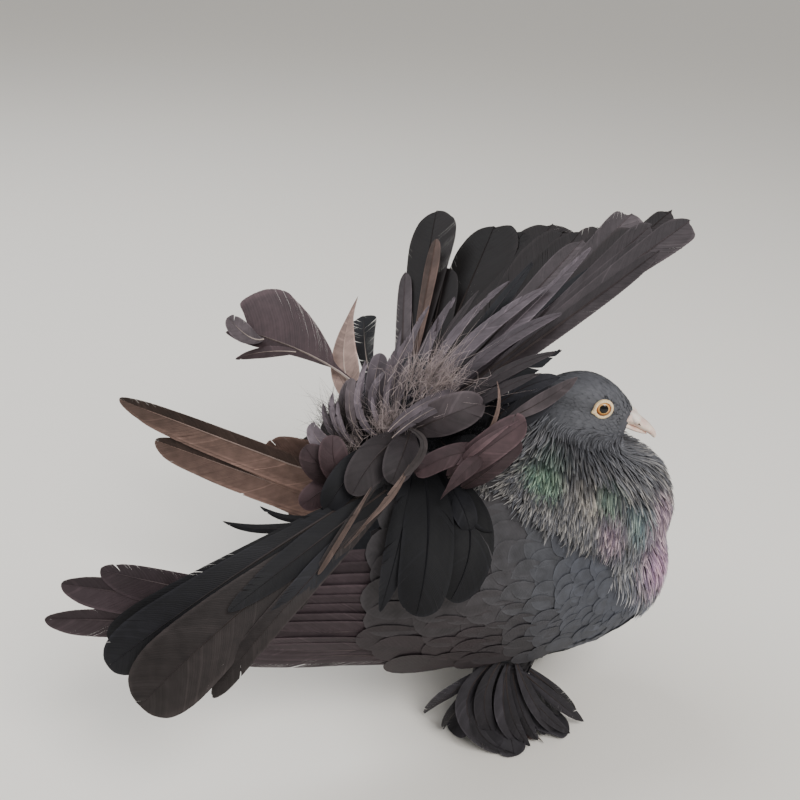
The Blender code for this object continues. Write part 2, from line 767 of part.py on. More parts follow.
def make_foot(name, side):
    """Toes and claws with flat soles, under a muff of feathers."""
    forward, out = LEG_PLACE
    heel = Vector((forward, side * out, 0))
    ankle = loft(name, [oval(Vector((heel.x, heel.y, z)), Vector((1, 0, 0)), Vector((0, 1, 0)), r, r, 12)
                        for z, r in ((0.0, 0.006), (0.005, 0.0075), (ANKLE_HEIGHT, 0.007))])
    toes = [toe(heel, math.radians(side * angle), length)
            for angle, length in ((-32, 0.030), (4, 0.036), (40, 0.030), (178, 0.022))]
    muff = [vane("muff", muff_line(heel, angle, 0.036 + 0.006 * (i % 2), side), SHORT, 0.018, 0.1, columns=2)
            for i, angle in enumerate(range(-12, 200, 29))]
    foot = combine(ankle, toes + muff, "UNION")
    cut_flat(foot, Vector((0, 0, 0)), Vector((0, 0, -1)))
    return keep_largest(foot)


def finish(name, colour, roughness):
    """A Principled material of one colour."""
    material = bpy.data.materials.new(name)
    material.use_nodes = True
    shader = material.node_tree.nodes["Principled BSDF"]
    shader.inputs["Base Color"].default_value = (*colour, 1)
    shader.inputs["Roughness"].default_value = roughness
    shader.inputs["Metallic"].default_value = 0.0
    return material


def dress(things, material, smooth=True):
    for thing in things:
        thing.data.materials.clear()
        thing.data.materials.append(material)
        if smooth:
            thing.data.shade_smooth()
            thing.data.set_sharp_from_angle(angle=math.radians(40))


def stand_on_origin(things):
    """Move the whole bird so that the middle of its footprint is the origin."""
    bpy.context.view_layer.update()
    corners = [thing.matrix_world @ vert.co for thing in things for vert in thing.data.vertices]
    low = [min(c[i] for c in corners) for i in range(3)]
    high = [max(c[i] for c in corners) for i in range(3)]
    shift = Vector((-(low[0] + high[0]) / 2, -(low[1] + high[1]) / 2, -low[2]))
    for thing in things:
        thing.location = shift


def build():
    clear_scene()
    torso, neck, head = make_flesh()
    eyes = make_eyes(head)
    bills = make_bill(head)
    flesh = [torso, neck, head]
    for thing in flesh:
        keep_largest(thing)
    tail = make_tail()
    wings = [make_wing("wing_left", 1), make_wing("wing_right", -1)]
    legs = [make_leg("leg_left", 1), make_leg("leg_right", -1)]
    feet = [make_foot("foot_left", 1), make_foot("foot_right", -1)]
    dress([torso, neck, head], finish("body_feathers", (0.070, 0.072, 0.080), 0.75))
    dress(wings, finish("wing_feathers", (0.060, 0.045, 0.046), 0.60))
    dress(tail, finish("tail_feathers", (0.032, 0.024, 0.024), 0.60))
    dress(eyes, finish("eye", (0.55, 0.33, 0.12), 0.15))
    dress(bills, finish("bill_horn", (0.62, 0.50, 0.46), 0.45))
    dress(legs + feet, finish("leg_feathers", (0.030, 0.028, 0.030), 0.70))
    stand_on_origin([torso, neck, head, *eyes, *bills, *tail, *wings, *legs, *feet])


build()
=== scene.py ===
# %% [markdown]
# # A fantail pigeon, feather by feather
#
# The solid model gives the bird's true size and pose. Here it gets its looks: one skin, and over it
# every kind of feather that the real bird carries. The first cell loads the solids as a fixed frame.
# The dressed bird has to stay inside it.

# %% Load the solids
import itertools
import math

import bmesh
import bpy
import numpy as np
from mathutils import Matrix, Vector
from mathutils.bvhtree import BVHTree


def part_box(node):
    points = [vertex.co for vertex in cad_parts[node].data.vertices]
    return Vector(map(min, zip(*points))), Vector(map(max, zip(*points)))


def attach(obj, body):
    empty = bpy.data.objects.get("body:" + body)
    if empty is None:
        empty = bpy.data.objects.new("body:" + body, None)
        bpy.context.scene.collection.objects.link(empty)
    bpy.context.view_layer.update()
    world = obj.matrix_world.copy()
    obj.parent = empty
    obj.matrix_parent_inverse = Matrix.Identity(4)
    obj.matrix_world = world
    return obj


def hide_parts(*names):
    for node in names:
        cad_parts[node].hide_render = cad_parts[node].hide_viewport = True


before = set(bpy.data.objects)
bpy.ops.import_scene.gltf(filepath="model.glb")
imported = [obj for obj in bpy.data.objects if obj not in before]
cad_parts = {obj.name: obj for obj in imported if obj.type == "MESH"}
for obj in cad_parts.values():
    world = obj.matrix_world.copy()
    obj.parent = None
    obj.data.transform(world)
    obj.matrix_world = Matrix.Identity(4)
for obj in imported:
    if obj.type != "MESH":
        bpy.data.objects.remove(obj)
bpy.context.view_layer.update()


# %% [markdown]
# ## One frame for the whole bird
#
# The bird is drawn in its own frame: forward is +X, its left is +Y, and the floor is Z = 0. The
# solids stand with the middle of their footprint on the origin, so there is one shift between the
# two. The eye is a ball whose place in the bird's frame is known, and its box gives that shift.

# %% Head directions and the shift
HEAD_CENTRE = Vector((0.075, 0.0, 0.173))
HEAD_YAW = math.radians(-10.4)
HEAD_PITCH = math.radians(30.3)
EYE_SIDE = 0.0098

HEAD_FORWARD = Vector((math.cos(HEAD_PITCH) * math.cos(HEAD_YAW),
                       math.cos(HEAD_PITCH) * math.sin(HEAD_YAW),
                       -math.sin(HEAD_PITCH)))
HEAD_LEFT = Vector((0, 0, 1)).cross(HEAD_FORWARD).normalized()
HEAD_UP = HEAD_FORWARD.cross(HEAD_LEFT)


def head_point(along, out, high):
    return HEAD_CENTRE + HEAD_FORWARD * along + HEAD_LEFT * out + HEAD_UP * high


def box_middle(node):
    low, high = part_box(node)
    return (low + high) / 2


SHIFT = box_middle("eye_right") - head_point(0.0, -EYE_SIDE, 0.0)
print("the bird's frame is moved by", tuple(round(v, 5) for v in SHIFT))

# %% [markdown]
# ## Camera, floor and light
#
# The picture was taken from the bird's right, a little above it and slightly tilted. A camera is a
# place and three directions: right, up and back. The floor is plain and pale and runs past the
# frame, and two large soft lamps with a pale surrounding give the even light of a bright day.

# %% Camera
CAMERA_PLACE = Vector((-0.098, -0.427, 0.374))
CAMERA_TURN = math.radians(-10)
CAMERA_DOWN = math.radians(25)
CAMERA_ROLL = math.atan(0.0754)
LENS = 45.9
SENSOR = 36.0

level = Vector((math.cos(CAMERA_TURN), math.sin(CAMERA_TURN), 0))
CAMERA_BACK = Vector((math.sin(CAMERA_TURN) * math.cos(CAMERA_DOWN),
                      -math.cos(CAMERA_TURN) * math.cos(CAMERA_DOWN), math.sin(CAMERA_DOWN)))
upright = CAMERA_BACK.cross(level)
CAMERA_RIGHT = level * math.cos(CAMERA_ROLL) + upright * math.sin(CAMERA_ROLL)
CAMERA_UP = upright * math.cos(CAMERA_ROLL) - level * math.sin(CAMERA_ROLL)


def add_camera():
    data = bpy.data.cameras.new("camera")
    data.lens = LENS
    data.sensor_width = SENSOR
    data.clip_start = 0.01
    camera = bpy.data.objects.new("camera", data)
    turn = Matrix((CAMERA_RIGHT, CAMERA_UP, CAMERA_BACK)).transposed().to_4x4()
    turn.translation = CAMERA_PLACE + SHIFT
    camera.matrix_world = turn
    bpy.context.scene.collection.objects.link(camera)
    bpy.context.scene.camera = camera
    return camera


camera = add_camera()
print("camera at", tuple(round(v, 3) for v in camera.matrix_world.translation))

# %% [markdown]
# Some helpers serve every later cell. A material is made node by node: each input of a node takes
# a value, or the output of another node, to which it is then linked.

# %% Objects and materials
def clamp(value):
    return min(max(value, 0.0), 1.0)


def new_object(name, data):
    thing = bpy.data.objects.new(name, data)
    bpy.context.scene.collection.objects.link(thing)
    return thing


def mesh_of(bm, name):
    mesh = bpy.data.meshes.new(name)
    bm.to_mesh(mesh)
    bm.free()
    return mesh


def place_piece(name, mesh, material, replaces=()):
    """Set a mesh on the bird as a piece of one material, in place of the nodes that it replaces."""
    mesh.materials.append(material)
    piece = new_object(name, mesh)
    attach(piece, "root")
    if replaces:
        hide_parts(*replaces)
    return piece


class Finish:
    """A material being made."""

    def __init__(self, name):
        self.material = bpy.data.materials.new(name)
        self.material.use_nodes = True
        self.tree = self.material.node_tree
        self.shader = self.tree.nodes["Principled BSDF"]

    def fill(self, node, inputs):
        for key, value in inputs.items():
            if isinstance(value, bpy.types.NodeSocket):
                self.tree.links.new(value, node.inputs[key])
            else:
                node.inputs[key].default_value = value

    def add(self, kind, inputs, **settings):
        node = self.tree.nodes.new("ShaderNode" + kind)
        for key, value in settings.items():
            setattr(node, key, value)
        self.fill(node, inputs)
        return node

    def places(self):
        return self.add("TexCoord", {}).outputs["Object"]

    def noise(self, scale, detail):
        inputs = {"Vector": self.places(), "Scale": scale, "Detail": detail}
        return self.add("TexNoise", inputs).outputs["Fac"]

    def ramp(self, value, stops):
        """Colours by a value; each stop is a position and a colour."""
        node = self.add("ValToRGB", {"Fac": value})
        elements = node.color_ramp.elements
        while len(elements) < len(stops):
            elements.new(0.5)
        for element, (position, colour) in zip(elements, stops):
            element.position = position
            element.color = (*colour, 1)
        return node.outputs["Color"]

    def bump(self, height, strength, distance):
        inputs = {"Height": height, "Strength": strength, "Distance": distance}
        return self.add("Bump", inputs).outputs["Normal"]

    def done(self, inputs):
        """Fill the shader's inputs and hand over the material."""
        self.fill(self.shader, inputs)
        return self.material


def srgb(*screen):
    """A colour read off a screen, from 0 to 255, as the shader's linear numbers."""
    shares = [part / 255 for part in screen]
    return tuple(part / 12.92 if part < 0.04045 else ((part + 0.055) / 1.055) ** 2.4 for part in shares)


# %% Floor and lamps
FLOOR_SIZE = 30.0
FLOOR_COLOUR = srgb(242, 238, 231)


def floor_finish():
    finish = Finish("floor_paint")
    normal = finish.bump(finish.noise(60.0, 6.0), 0.15, 0.0005)
    return finish.done({"Base Color": (*FLOOR_COLOUR, 1), "Roughness": 0.85, "Normal": normal})


def add_floor():
    bm = bmesh.new()
    bmesh.ops.create_grid(bm, x_segments=2, y_segments=2, size=FLOOR_SIZE / 2)
    floor = new_object("floor", mesh_of(bm, "floor"))
    floor.data.materials.append(floor_finish())


def add_lamp(name, place, target, size, power, colour):
    data = bpy.data.lights.new(name, "AREA")
    data.shape = "DISK"
    data.size = size
    data.energy = power
    data.color = colour
    lamp = new_object(name, data)
    lamp.location = place
    lamp.rotation_euler = (Vector(target) - Vector(place)).to_track_quat("-Z", "Y").to_euler()


def add_surrounding(colour, strength):
    world = bpy.data.worlds.new("surrounding")
    world.use_nodes = True
    background = world.node_tree.nodes["Background"]
    background.inputs["Color"].default_value = (*colour, 1)
    background.inputs["Strength"].default_value = strength
    bpy.context.scene.world = world


add_floor()
add_lamp("key_lamp", (0.35, -1.15, 1.35), (0.02, 0.0, 0.13), 0.9, 24.0, (1.0, 0.98, 0.95))
add_lamp("sky_lamp", (-0.7, 0.55, 1.6), (0.0, 0.0, 0.13), 1.2, 18.0, (0.93, 0.96, 1.0))
add_surrounding((0.98, 0.97, 0.95), 0.55)
print("floor, two lamps and the surrounding are in place")

# %% [markdown]
# ## The skin
#
# Under its feathers a bird is one smooth body. The solids of torso, neck, head and legs are parted
# by thin cuts, so copies of them are grown a hair's breadth until they touch, and remeshed into
# one surface. The ball that carries the fan joins them. The surface then sinks in by the depth of
# the coat, which is thin on the face and deep on the breast, so that the feathers laid on it end
# where the solids do. Remeshing was chosen over joining by hand because it leaves no seam.

# %% Skin shape
FLESH = ("torso", "neck", "head", "leg_left", "leg_right")
OVERLAP = 0.0004
SKIN_VOXEL = 0.0015
SMOOTHING_ROUNDS = 5
FAN_CENTRE = Vector((-0.022, -0.005, 0.153))
FAN_FACE = Vector((-0.61, -0.202, 0.766)).normalized()
HUB_RADIUS = 0.021
HUB_HALF_DEPTH = 0.011
FACE_DEPTH = 0.001
FACE_REACH = 0.014
FACE_BLEND = 0.016
BODY_DEPTH = 0.0026
FAN_FORWARD = (Vector((1, 0, 0)) - FAN_FACE * FAN_FACE.x).normalized()
FAN_LEFT = FAN_FACE.cross(FAN_FORWARD)


def baked_modifiers(thing):
    """The mesh of a thing with its modifiers, and without the thing."""
    graph = bpy.context.evaluated_depsgraph_get()
    mesh = bpy.data.meshes.new_from_object(thing.evaluated_get(graph))
    bpy.data.objects.remove(thing, do_unlink=True)
    return mesh


def move_out(bm, reach):
    """Move each vertex along its normal as far as reach says for its place."""
    moved = [(vert, vert.co + vert.normal * reach(vert.co)) for vert in bm.verts]
    for vert, place in moved:
        vert.co = place


def flesh_shape():
    """Copies of the flesh solids and the fan's hub, in the bird's frame, grown until they touch."""
    bm = bmesh.new()
    for name in FLESH:
        bm.from_mesh(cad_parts[name].data)
    bmesh.ops.remove_doubles(bm, verts=bm.verts, dist=0.000001)
    bmesh.ops.translate(bm, verts=bm.verts, vec=-SHIFT)
    bm.normal_update()
    move_out(bm, lambda place: OVERLAP)
    turn = Matrix((FAN_FORWARD, FAN_LEFT, FAN_FACE)).transposed().to_4x4()
    size = Matrix.Diagonal((HUB_RADIUS, HUB_RADIUS, HUB_HALF_DEPTH, 1))
    place = Matrix.Translation(FAN_CENTRE) @ turn @ size
    bmesh.ops.create_uvsphere(bm, u_segments=32, v_segments=16, radius=1.0, matrix=place)
    return mesh_of(bm, "flesh")


def coat_depth(place):
    """How deep the coat is at a place of the body."""
    from_head = (place - HEAD_CENTRE).length
    share = clamp((from_head - FACE_REACH) / FACE_BLEND)
    return FACE_DEPTH + (BODY_DEPTH - FACE_DEPTH) * share


def make_skin():
    rough = new_object("flesh", flesh_shape())
    remesh = rough.modifiers.new("one_surface", "REMESH")
    remesh.mode = "VOXEL"
    remesh.voxel_size = SKIN_VOXEL
    mesh = baked_modifiers(rough)
    bm = bmesh.new()
    bm.from_mesh(mesh)
    axes = {"use_axis_x": True, "use_axis_y": True, "use_axis_z": True}
    for _ in range(SMOOTHING_ROUNDS):
        bmesh.ops.smooth_vert(bm, verts=bm.verts, factor=0.5, **axes)
    bm.normal_update()
    move_out(bm, lambda place: -coat_depth(place))
    bm.normal_update()
    bm.to_mesh(mesh)
    tree = BVHTree.FromBMesh(bm)
    bm.free()
    return mesh, tree


skin_mesh, skin_tree = make_skin()
print("skin has", len(skin_mesh.polygons), "faces")

# %% [markdown]
# ## Colours
#
# The bird is nearly black, yet no two groups of its feathers are alike: slate on head and wings,
# bluish on the breast, maroon brown on the flight feathers, black on the hanging feathers, and a
# green and purple gloss on the neck, which is painted into the colours as sheen. Each vertex
# carries its colour in an attribute named tint, so that skin and feathers share one rule and every
# feather can differ a little from the next.

# %% Named colours
def shade(*screen):
    return np.array(srgb(*screen))


SLATE = shade(74, 75, 80)
BLUE_SLATE = shade(80, 83, 92)
WING_GREY = shade(64, 61, 64)
WING_BROWN = shade(53, 44, 48)
TAIL_BLACK = shade(36, 31, 32)
TAIL_BROWN = shade(46, 41, 41)
TAIL_GREY = shade(70, 63, 66)
RED_BROWN = shade(60, 47, 50)
TAN = shade(120, 101, 94)
JET = shade(22, 22, 26)
LILAC = shade(92, 84, 90)
DOWN_GREY = shade(196, 180, 178)
MAROON = shade(70, 57, 60)
BROWN_UNDER = shade(122, 99, 91)
GREEN_GLOSS = shade(78, 112, 96)
PURPLE_GLOSS = shade(136, 104, 132)
TEAL_GLOSS = shade(90, 124, 128)
HIGHLIGHT_GREY = shade(150, 146, 141)
SHAFT_DARK = shade(52, 44, 42)
SHAFT_PALE = shade(172, 158, 150)
LEG_BLACK = shade(40, 38, 42)


def ease(low, high, value):
    """0 below low, 1 above high, and smooth between."""
    share = np.clip((value - low) / (high - low), 0.0, 1.0)
    return share * share * (3 - 2 * share)


def near(place, centre, radius):
    """1 at a centre, falling softly to 0 at a radius."""
    away = np.linalg.norm(place - np.array(centre), axis=-1)
    return 1 - ease(0.25 * radius, radius, away)


def blend(first, second, share):
    share = np.asarray(share)[..., None]
    return first * (1 - share) + second * share


BIB_EDGE = ((0.0, 0.141), (0.02, 0.134), (0.046, 0.126), (0.068, 0.1135), (0.098, 0.087), (0.115, 0.066))
BIB_X, BIB_Z = zip(*BIB_EDGE)


def below_bib(place):
    """How far a place lies under the lower edge of the neck's long feathers."""
    return np.interp(place[..., 0], BIB_X, BIB_Z) - place[..., 2]


# painted sheen of the neck's gloss, and one pale painted highlight: colour, place, radius, strength
GLOSS_SPOTS = (
    (GREEN_GLOSS, 0.045, 0.028, 0.16, 0.017, 0.8),
    (GREEN_GLOSS, 0.043, 0.031, 0.149, 0.013, 0.45),
    (HIGHLIGHT_GREY, 0.064, 0.033, 0.142, 0.013, 0.24),
    (GREEN_GLOSS, 0.074, 0.034, 0.142, 0.01, 0.35),
    (TEAL_GLOSS, 0.087, 0.03, 0.126, 0.014, 0.45),
    (PURPLE_GLOSS, 0.071, 0.038, 0.124, 0.014, 0.6),
    (PURPLE_GLOSS, 0.099, 0.025, 0.102, 0.022, 0.7),
    (PURPLE_GLOSS, 0.102, 0.022, 0.126, 0.018, 0.3),
)


def body_colour(place):
    """The ground colour of body, neck, head and legs at places in the bird's frame, with the neck's gloss
    painted in as sheen.
    """
    colour = np.broadcast_to(SLATE, place.shape).copy()
    breast = ease(0.04, 0.085, place[..., 0]) * (1 - ease(0.105, 0.13, place[..., 2]))
    colour = blend(colour, BLUE_SLATE, breast)
    low = 1 - ease(0.03, 0.055, place[..., 2])
    colour = blend(colour, LEG_BLACK, low)
    # painted sheen: the neck's gloss is laid into the colour as fixed spots on both sides
    for side in (-1, 1):
        for gloss, x, y, z, radius, share in GLOSS_SPOTS:
            colour = blend(colour, gloss, share * near(place, (x, side * y, z), radius))
    return colour


print("green and purple gloss lie on both sides of the neck")

# %% [markdown]
# ## How a feather is built
#
# Every feather here starts from one straight prism: a ring of a few points pulled through some
# stations, made with a circle and extrudes. Its copies are then laid along curves by arrays: each
# station of each copy is moved to its place on the curve, and its ring takes the width and
# thickness that the feather has there. A wide ring with a thin underside gives a vane, and a
# three-cornered ring gives a lock or a single barb. All of them are closed.

# %% Prism templates
class Prism:
    """A straight prism's faces, and for each vertex its station and its place in the ring."""

    def __init__(self, ring, stations, shares=None):
        self.ring = np.array(ring, float)
        self.stations = stations
        self.shares = np.linspace(0, 1, stations) if shares is None else np.array(shares)
        count = len(ring)
        bm = bmesh.new()
        bmesh.ops.create_circle(bm, cap_ends=True, segments=count, radius=1.0)
        for _ in range(stations - 1):
            top = max(bm.faces, key=lambda face: (len(face.verts) == count, face.calc_center_median().z))
            made = bmesh.ops.extrude_face_region(bm, geom=[top])
            moved = [item for item in made["geom"] if isinstance(item, bmesh.types.BMVert)]
            bmesh.ops.translate(bm, verts=moved, vec=(0, 0, 1))
            if top.is_valid and top.calc_center_median().z > 0.5:
                bmesh.ops.delete(bm, geom=[top], context="FACES_ONLY")
        bmesh.ops.recalc_face_normals(bm, faces=bm.faces)
        bm.verts.index_update()
        first = min(math.atan2(v.co.y, v.co.x) for v in bm.verts)
        turn = 2 * math.pi / count
        self.station = np.array([round(v.co.z) for v in bm.verts])
        self.slot = np.array([round((math.atan2(v.co.y, v.co.x) - first) / turn) % count for v in bm.verts])
        faces = [[v.index for v in face.verts] for face in bm.faces]
        self.loops = np.array([index for face in faces for index in face])
        self.sizes = np.array([len(face) for face in faces])
        bm.free()

    def lay(self, points, sides, ups, halves, thick, cup=0.0):
        """Vertices of one copy for each row of points; halves are half widths at the stations."""
        across = self.ring[self.slot, 0]
        height = self.ring[self.slot, 1]
        at = self.station
        half = halves[:, at]
        out = half * across
        rise = height * thick * np.minimum(half / (halves.max(axis=1, keepdims=True) + 1e-9) * 2.5, 1.0)
        rise = rise - cup * half * across ** 2
        return points[:, at] - sides[:, at] * out[..., None] + ups[:, at] * rise[..., None]


LOCK_RING = ((-1, 0), (1, 0), (0, 1))
BARB_RING = ((-1, 0), (0, -1), (1, 0))
BLADE_RING = ((-1, 0), (0, -1.0), (1, 0), (0.5, 0.25), (0, 0.6), (-0.5, 0.25))
SHAFT_RING = ((-1, 0), (0, -1), (1, 0), (0, 1))

lock_prism = Prism(LOCK_RING, 5)
small_prism = Prism(LOCK_RING, 4)
BLADE_SHARES = (0.0, 0.28, 0.52, 0.7, 0.83, 0.92, 0.975, 1.0)
BLADE_HALVES = np.array([0.35, 0.8, 0.99, 1.0, 0.88, 0.66, 0.36, 0.06])
blade_prism = Prism(BLADE_RING, len(BLADE_SHARES), BLADE_SHARES)
barb_prism = Prism(BARB_RING, 4)
shaft_prism = Prism(SHAFT_RING, 12)
for name, prism in (("lock", lock_prism), ("blade", blade_prism), ("barb", barb_prism)):
    print(name, "prism:", len(prism.station), "points,", len(prism.sizes), "faces")

# %% [markdown]
# Thousands of copies become one mesh. A coat collects them, with three things for each vertex: its
# place, its tint, and a map of the feather itself, u across it and v along it, which the barb
# pattern of the material follows. A second map, OFBake, gives each feather a small patch at its
# root's place on an unwrap of the body.

# %% A coat gathers copies of prisms
PATCH = 0.003
SHARP_ANGLE = math.radians(50)


class Coat:
    """Copies of prisms that end as one mesh object."""

    def __init__(self, name):
        self.name = name
        self.parts = []

    def add(self, prism, places, tints, spots, patch=PATCH, long_map=None, taper=None):
        """places and tints: a row of vertices for each copy; spots: a point of the unwrap each."""
        narrow = 1.0 if taper is None else taper[prism.station]
        across = (prism.ring[prism.slot, 0] * narrow + 1) / 2
        along = prism.shares[prism.station]
        local = np.stack([np.broadcast_to(across, places.shape[:2]),
                          np.broadcast_to(along, places.shape[:2])], axis=-1)
        spots = np.asarray(spots)[:, None, :] + (local - 0.5) * patch
        if long_map is not None:
            local = long_map
        self.parts.append((prism, places, tints, local, spots))

    def finish(self, material, slot, replaces=()):
        """Make the object, with its maps and colours, and set it on the bird."""
        corners = []
        starts = []
        base = begun = 0
        for prism, places, *_ in self.parts:
            copies, size = places.shape[:2]
            copy = np.arange(copies)[:, None]
            corners.append((prism.loops + base + copy * size).ravel())
            starts.append((np.cumsum(prism.sizes) - prism.sizes + begun + copy * len(prism.loops)).ravel())
            base += copies * size
            begun += copies * len(prism.loops)
        corners, starts = (np.concatenate(made).astype(np.int32) for made in (corners, starts))
        places, tints, local, spots = (np.concatenate([part[i].reshape(-1, size) for part in self.parts])
                                       for i, size in ((1, 3), (2, 3), (3, 2), (4, 2)))
        places = places + np.array(SHIFT)
        mesh = bpy.data.meshes.new(self.name)
        mesh.vertices.add(len(places))
        mesh.vertices.foreach_set("co", places.astype(np.float32).ravel())
        mesh.loops.add(len(corners))
        mesh.loops.foreach_set("vertex_index", corners)
        mesh.polygons.add(len(starts))
        mesh.polygons.foreach_set("loop_start", starts)
        mesh.update(calc_edges=True)
        mesh.polygons.foreach_set("use_smooth", np.ones(len(starts), bool))
        mesh.set_sharp_from_angle(angle=SHARP_ANGLE)
        store_tint(mesh, tints)
        for title, values in (("FeatherMap", local), ("OFBake", spots)):
            layer = mesh.uv_layers.new(name=title)
            layer.data.foreach_set("uv", values[corners].astype(np.float32).ravel())
        triangles = int(np.sum([np.sum(part[0].sizes - 2) * len(part[1]) for part in self.parts]))
        print(self.name, "-", sum(len(part[1]) for part in self.parts), "copies,", triangles, "triangles")
        return place_piece(self.name, mesh, material, replaces)


def store_tint(mesh, tints):
    layer = mesh.color_attributes.new("tint", "FLOAT_COLOR", "POINT")
    full = np.ones((len(tints), 4), np.float32)
    full[:, :3] = tints
    layer.data.foreach_set("color", full.ravel())


# %% [markdown]
# ## Feather finish
#
# A vane is made of hundreds of barbs that run slantwise from the shaft, finer than any mesh here.
# The material draws them from the feather's own map: a wave along v, slanted by the distance from
# the shaft, gives the bump, and a soft noise in the bird's space breaks up the colour and the
# gloss, as dust and wear do. The gloss numbers are set on the shader itself.

# %% Feather material
MOTTLE_SCALE = 220.0
WHOLE_TURN = 2 * math.pi


def feather_finish(name, barbs=60.0, slant=0.5, bump_depth=0.00012, rough=(0.45, 0.65), metal=0.0,
                   mottle=0.25, level=0.5, streaks=0.18, rim=1.0, blade=False):
    """The tint, mottled, lined with barbs and edged with a rim; blade rims the round tip as well."""
    finish = Finish(name)
    own_map = finish.add("UVMap", {}, uv_map="FeatherMap").outputs["UV"]
    parts = finish.add("SeparateXYZ", {"Vector": own_map})
    across, along = parts.outputs["X"], parts.outputs["Y"]

    def maths(operation, first, second=0.0):
        return finish.add("Math", {0: first, 1: second}, operation=operation).outputs[0]

    def stepped(value, low, high):
        limits = {"Value": value, "From Min": low, "From Max": high}
        return finish.add("MapRange", limits, interpolation_type="SMOOTHSTEP").outputs["Result"]

    def mixed(kind, first, second, share=1.0):
        inputs = {"Factor": share, "A": first, "B": second}
        return finish.add("Mix", inputs, data_type="RGBA", blend_type=kind).outputs["Result"]

    from_shaft = maths("ABSOLUTE", maths("SUBTRACT", across, 0.5))
    slanted = maths("SUBTRACT", along, maths("MULTIPLY", from_shaft, slant))
    wave = maths("SINE", maths("MULTIPLY", slanted, barbs * WHOLE_TURN))
    noise = finish.noise(MOTTLE_SCALE, 4.0)
    mottled = finish.ramp(noise, ((0.32, [1 - mottle] * 3), (0.7, [1 + mottle] * 3)))
    tint = finish.add("Attribute", {}, attribute_name="tint").outputs["Color"]
    grey = maths("ADD", maths("MULTIPLY", wave, streaks), 1.0)
    lines = finish.add("CombineColor", {"Red": grey, "Green": grey, "Blue": grey}).outputs["Color"]
    lined = mixed("MULTIPLY", mixed("MULTIPLY", tint, mottled), lines)
    reach = maths("MULTIPLY", from_shaft, 2.0)
    if blade:
        beyond = maths("MAXIMUM", maths("MULTIPLY", maths("SUBTRACT", along, 0.7), 1 / 0.3), 0.0)
        reach = maths("SQRT", maths("ADD", maths("POWER", reach, 2.0), maths("POWER", beyond, 2.0)))
    edge = maths("MULTIPLY", stepped(reach, 0.84, 0.97), stepped(along, 0.15, 0.5))
    colour = mixed("MIX", lined, mixed("MULTIPLY", lined, (rim, rim, rim, 1)), edge)
    roughness = finish.add("MapRange", {"Value": noise, "To Min": rough[0], "To Max": rough[1]})
    return finish.done({"Base Color": colour, "Roughness": roughness.outputs["Result"], "Metallic": metal,
                        "Normal": finish.bump(wave, 0.6, bump_depth), "Specular IOR Level": level})


body_finish = feather_finish("body_feather", barbs=14.0, rough=(0.55, 0.75), level=0.25, streaks=0.04,
                             rim=1.08, mottle=0.2, blade=True, bump_depth=0.00002)
neck_finish = feather_finish("neck_feather", barbs=10.0, rough=(0.36, 0.55), metal=0.25, level=0.5,
                             mottle=0.3, streaks=0.05, bump_depth=0.00004)
head_finish = feather_finish("head_feather", barbs=6.0, rough=(0.55, 0.75), level=0.3, mottle=0.12,
                             streaks=0.05, bump_depth=0.00004)
wing_finish = feather_finish("wing_feather", barbs=16.0, rough=(0.52, 0.72), level=0.25, streaks=0.03,
                             rim=1.16, mottle=0.22, blade=True, bump_depth=0.00002)
vane_finish = feather_finish("vane", barbs=110.0, slant=0.0, rough=(0.55, 0.72), level=0.2, streaks=0.03,
                             rim=1.4, mottle=0.15, bump_depth=0.00003)
tail_finish = feather_finish("tail_feather", barbs=110.0, slant=0.0, rough=(0.52, 0.7), level=0.2,
                             streaks=0.03, rim=1.5, mottle=0.18, bump_depth=0.00003)
down_finish = feather_finish("down", barbs=8.0, rough=(0.7, 0.9), level=0.2)
print("seven feather finishes share one recipe")

# %% Skin object
skin_finish = feather_finish("skin_bed", barbs=1.0, rough=(0.8, 0.95), level=0.15, streaks=0.0,
                             bump_depth=0.0)


def head_distance(points):
    return np.linalg.norm(points - np.array(HEAD_CENTRE), axis=1)


def place_skin():
    mesh = skin_mesh
    places = np.empty(len(mesh.vertices) * 3, np.float32)
    mesh.vertices.foreach_get("co", places)
    places = places.reshape(-1, 3)
    # painted shade: the skin shows only in the coat's gaps, so its colour is darkened to a little over half
    # there and left lighter towards the face
    depth = 0.55 + 0.65 * (1 - ease(0.016, 0.026, head_distance(places)))
    store_tint(mesh, body_colour(places) * depth[:, None])
    mesh.vertices.foreach_set("co", (places + np.array(SHIFT)).astype(np.float32).ravel())
    mesh.update()
    mesh.shade_smooth()
    mesh.materials.clear()
    place_piece("skin", mesh, skin_finish, FLESH)
    return places


skin_places = place_skin()
print("one skin stands for", ", ".join(FLESH))

# %% [markdown]
# ## Laying feathers on the skin
#
# Feathers grow in rows that all point away from the bill: back over the head, down the neck, and
# back again along the body. The lie of the coat is a direction at each place, and a feather is
# found by walking along it on the skin, rising a little from root to tip, so that each one covers
# the roots of those behind it. Roots are scattered evenly by throwing points on the skin and
# keeping only those far enough from the ones kept before. The throws are seeded.

# %% Even scatter and the lie of the coat
def skin_triangles():
    skin_mesh.calc_loop_triangles()
    corners = np.empty(len(skin_mesh.loop_triangles) * 3, np.int32)
    skin_mesh.loop_triangles.foreach_get("vertices", corners)
    return skin_places[corners.reshape(-1, 3)]


skin_corners = skin_triangles()


CELLS_ABOUT = list(itertools.product((-1, 0, 1), repeat=3))


def thinned(points, spacing):
    """Points of a list that keep a spacing from those kept before them."""
    cells = {}
    kept = []
    limit = spacing * spacing
    keys = np.floor(points / spacing).astype(int)
    for number, (point, (i, j, k)) in enumerate(zip(points.tolist(), keys.tolist())):
        about = (cells.get((i + a, j + b, k + c), ()) for a, b, c in CELLS_ABOUT)
        gaps = ((other[0] - point[0]) ** 2 + (other[1] - point[1]) ** 2 + (other[2] - point[2]) ** 2
                for cell in about for other in cell)
        if all(gap >= limit for gap in gaps):
            cells.setdefault((i, j, k), []).append(point)
            kept.append(number)
    return points[kept]


